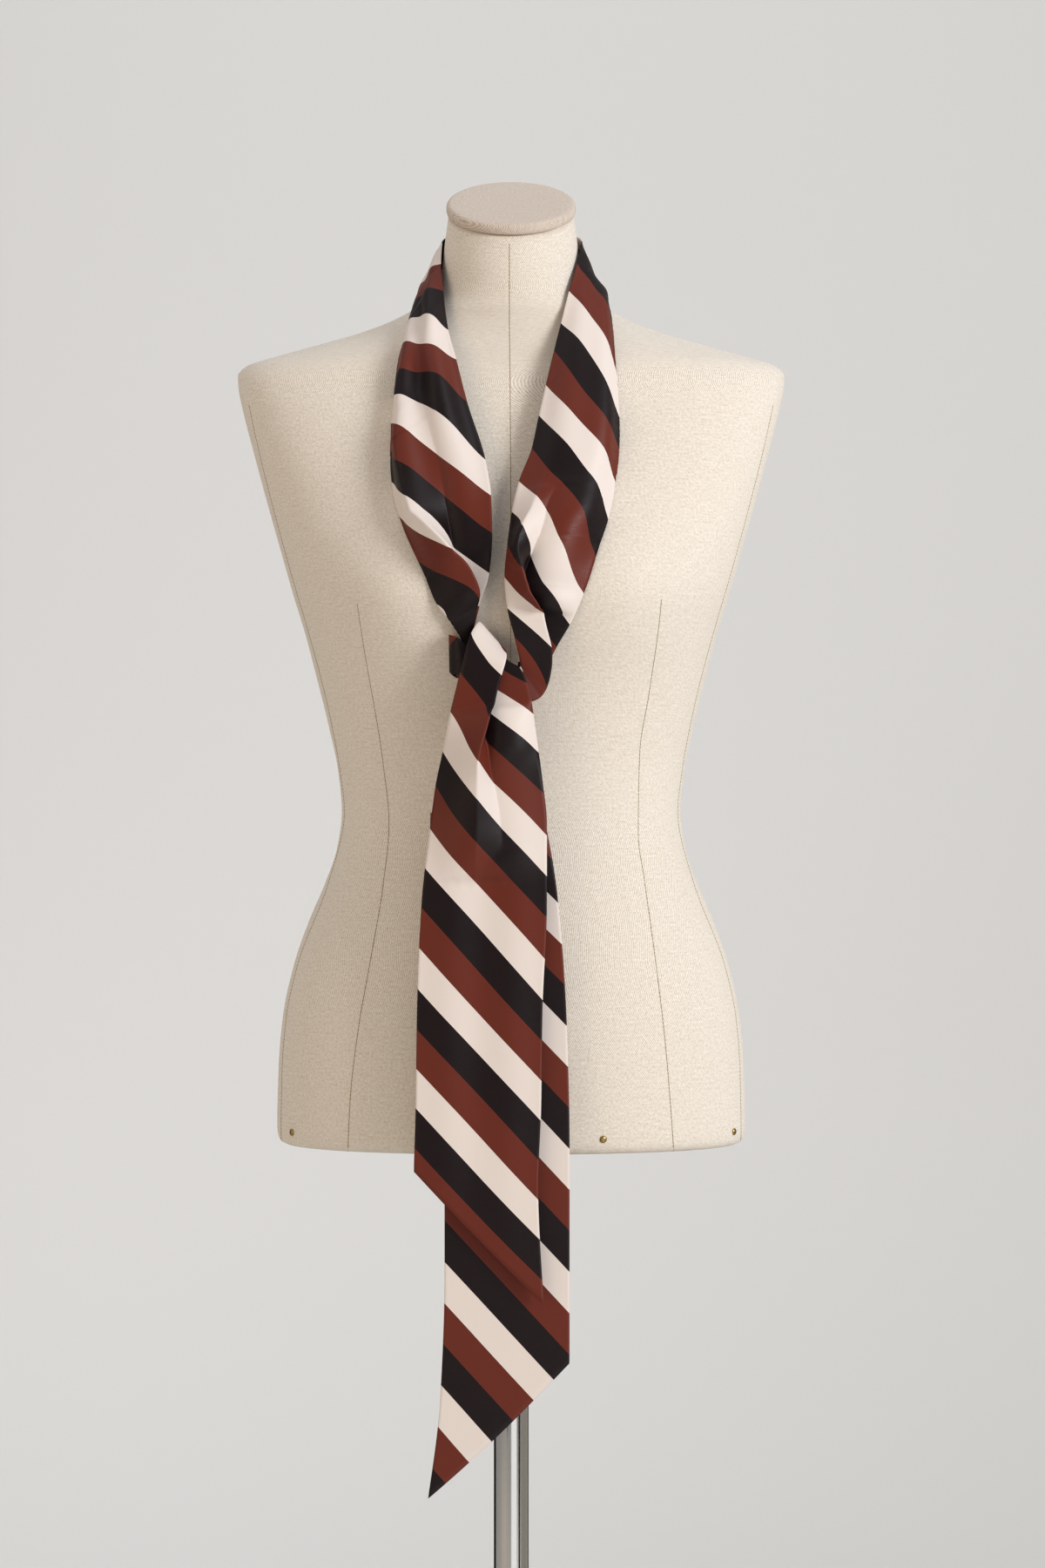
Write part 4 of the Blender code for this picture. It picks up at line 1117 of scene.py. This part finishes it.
# %% [markdown]
# ## Floor, backdrop and light
#
# The part stands on a pale studio sweep: one sheet that is the floor in front and curves up
# behind. A broad soft lamp stands to the right of the camera, so that the form's right side is
# bright and its left side falls into soft shade. A weak, warm fill keeps the shade open, and two
# more lamps, one high and one on the floor, light the backdrop. Seen from behind, the backdrop is
# clear. Cards round the pole, which only mirrors see, draw its bright and dark upright bands.

# %% Studio
SWEEP_WIDTH = 9.0
SWEEP_FRONT = -4.0
SWEEP_BACK = 2.6
SWEEP_TOP = 5.0
SWEEP_RADIUS = 0.8
SWEEP_DROP = 0.0005


def paper_material():
    """Matte studio paper that can be looked through from behind."""
    material, tree, shader = new_material("studio_paper", 0.95)
    cloud = add_noise(tree, object_place(tree), 0.6, 2.0)
    set_inputs(shader, {"Base Color": add_ramp(tree, cloud, (0.0, "#dedcd8"), (1.0, "#e4e2de"))})
    side = add_node(tree, "ShaderNodeNewGeometry").outputs["Backfacing"]
    clear = add_node(tree, "ShaderNodeBsdfTransparent")
    both = add_node(tree, "ShaderNodeMixShader", {"Fac": side, 1: shader, 2: clear})
    set_inputs(tree.nodes["Material Output"], {"Surface": both})
    return material


profile = [(SWEEP_FRONT, 0.0), (SWEEP_BACK - SWEEP_RADIUS, 0.0)]
for degrees in range(5, 91, 5):
    turn = math.radians(degrees)
    y = SWEEP_BACK - SWEEP_RADIUS + SWEEP_RADIUS * math.sin(turn)
    profile.append((y, SWEEP_RADIUS * (1 - math.cos(turn))))
profile.append((SWEEP_BACK, SWEEP_TOP))
sweep_points = [(side * SWEEP_WIDTH / 2, y, z - SWEEP_DROP) for y, z in profile for side in (-1, 1)]
sweep_faces = [(2 * i, 2 * i + 1, 2 * i + 3, 2 * i + 2) for i in range(len(profile) - 1)]
sweep = make_piece("sweep", sweep_points, sweep_faces, paper_material())

# Each card has the direction it stands in, in degrees from the camera's side towards the right,
# the width it fills, in degrees, and its tone.
Card = namedtuple("Card", "name direction spread tone")
CARDS = [
    Card("dark_left", -150, 60, "#1c1a18"),
    Card("white", 19, 36, "#ffffff"),
    Card("dark_line", 56, 13, "#14120f"),
    Card("grey", 98, 60, "#8c877f"),
    Card("dark_right", 158, 40, "#1c1a18"),
]
CARD_DISTANCE = 1.0
CARD_HEIGHT = 1.0
CARD_GLOW = 0.7


def standing_card(card):
    """An upright card on the floor that faces the pole, glows with its own tone and shows only in
    mirrors: painted reflection for the chrome.
    """
    turn = math.radians(card.direction)
    half = CARD_DISTANCE * math.tan(math.radians(card.spread / 2))
    middle = np.array([math.sin(turn), -math.cos(turn)]) * CARD_DISTANCE
    side = np.array([math.cos(turn), math.sin(turn)]) * half
    places = ((-1, 0), (1, 0), (1, CARD_HEIGHT), (-1, CARD_HEIGHT))
    corners = [(*(middle + side * a), z) for a, z in places]
    material, _, shader = new_material(card.name + "_card", 1.0)
    tone = linear(card.tone)
    # The card's glow is painted light: it shows only as a bright or dark reflected band on the
    # chrome.
    set_inputs(shader, {
        "Base Color": tone, "Specular IOR Level": 0.0,
        "Emission Color": tone, "Emission Strength": CARD_GLOW,
    })
    piece = make_piece(card.name + "_card", corners, [(0, 1, 2, 3)], material)
    piece.visible_camera = False
    piece.visible_diffuse = False
    piece.visible_shadow = False


for card in CARDS:
    standing_card(card)


Lamp = namedtuple("Lamp", "name place target size watts color")
LAMPS = [
    Lamp("key", (2.3, -1.9, 2.0), (0, 0, 1.15), 1.3, 75, "#fcfdff"),
    Lamp("fill", (-2.4, -2.4, 1.6), (0, 0, 1.1), 2.2, 28, "#ffe4c2"),
    Lamp("backdrop", (-0.3, 0.6, 3.4), (-0.2, 2.6, 0.8), 2.6, 21, "#eff5ff"),
    Lamp("low_backdrop", (-0.7, 1.3, 0.1), (-0.5, 2.6, 1.0), 1.2, 8, "#f4f8ff"),
]
SKY_COLOR = "#e9ebee"
SKY_STRENGTH = 0.40


def soft_lamp(lamp):
    """A square area lamp that points at a target and isn't seen itself."""
    data = bpy.data.lights.new(lamp.name, "AREA")
    data.shape = "SQUARE"
    data.size = lamp.size
    data.energy = lamp.watts
    data.color = linear(lamp.color)[:3]
    holder = new_object(lamp.name, data)
    holder.location = lamp.place
    aim = Vector(lamp.target) - Vector(lamp.place)
    holder.rotation_euler = aim.to_track_quat("-Z", "Y").to_euler()
    holder.visible_camera = False


for lamp in LAMPS:
    soft_lamp(lamp)
world = bpy.data.worlds.new("studio")
world.use_nodes = True
sky = {"Color": linear(SKY_COLOR), "Strength": SKY_STRENGTH}
set_inputs(world.node_tree.nodes["Background"], sky)
bpy.context.scene.world = world
bpy.context.scene.view_settings.view_transform = "Standard"
print(len(LAMPS), "lamps and a soft sky")
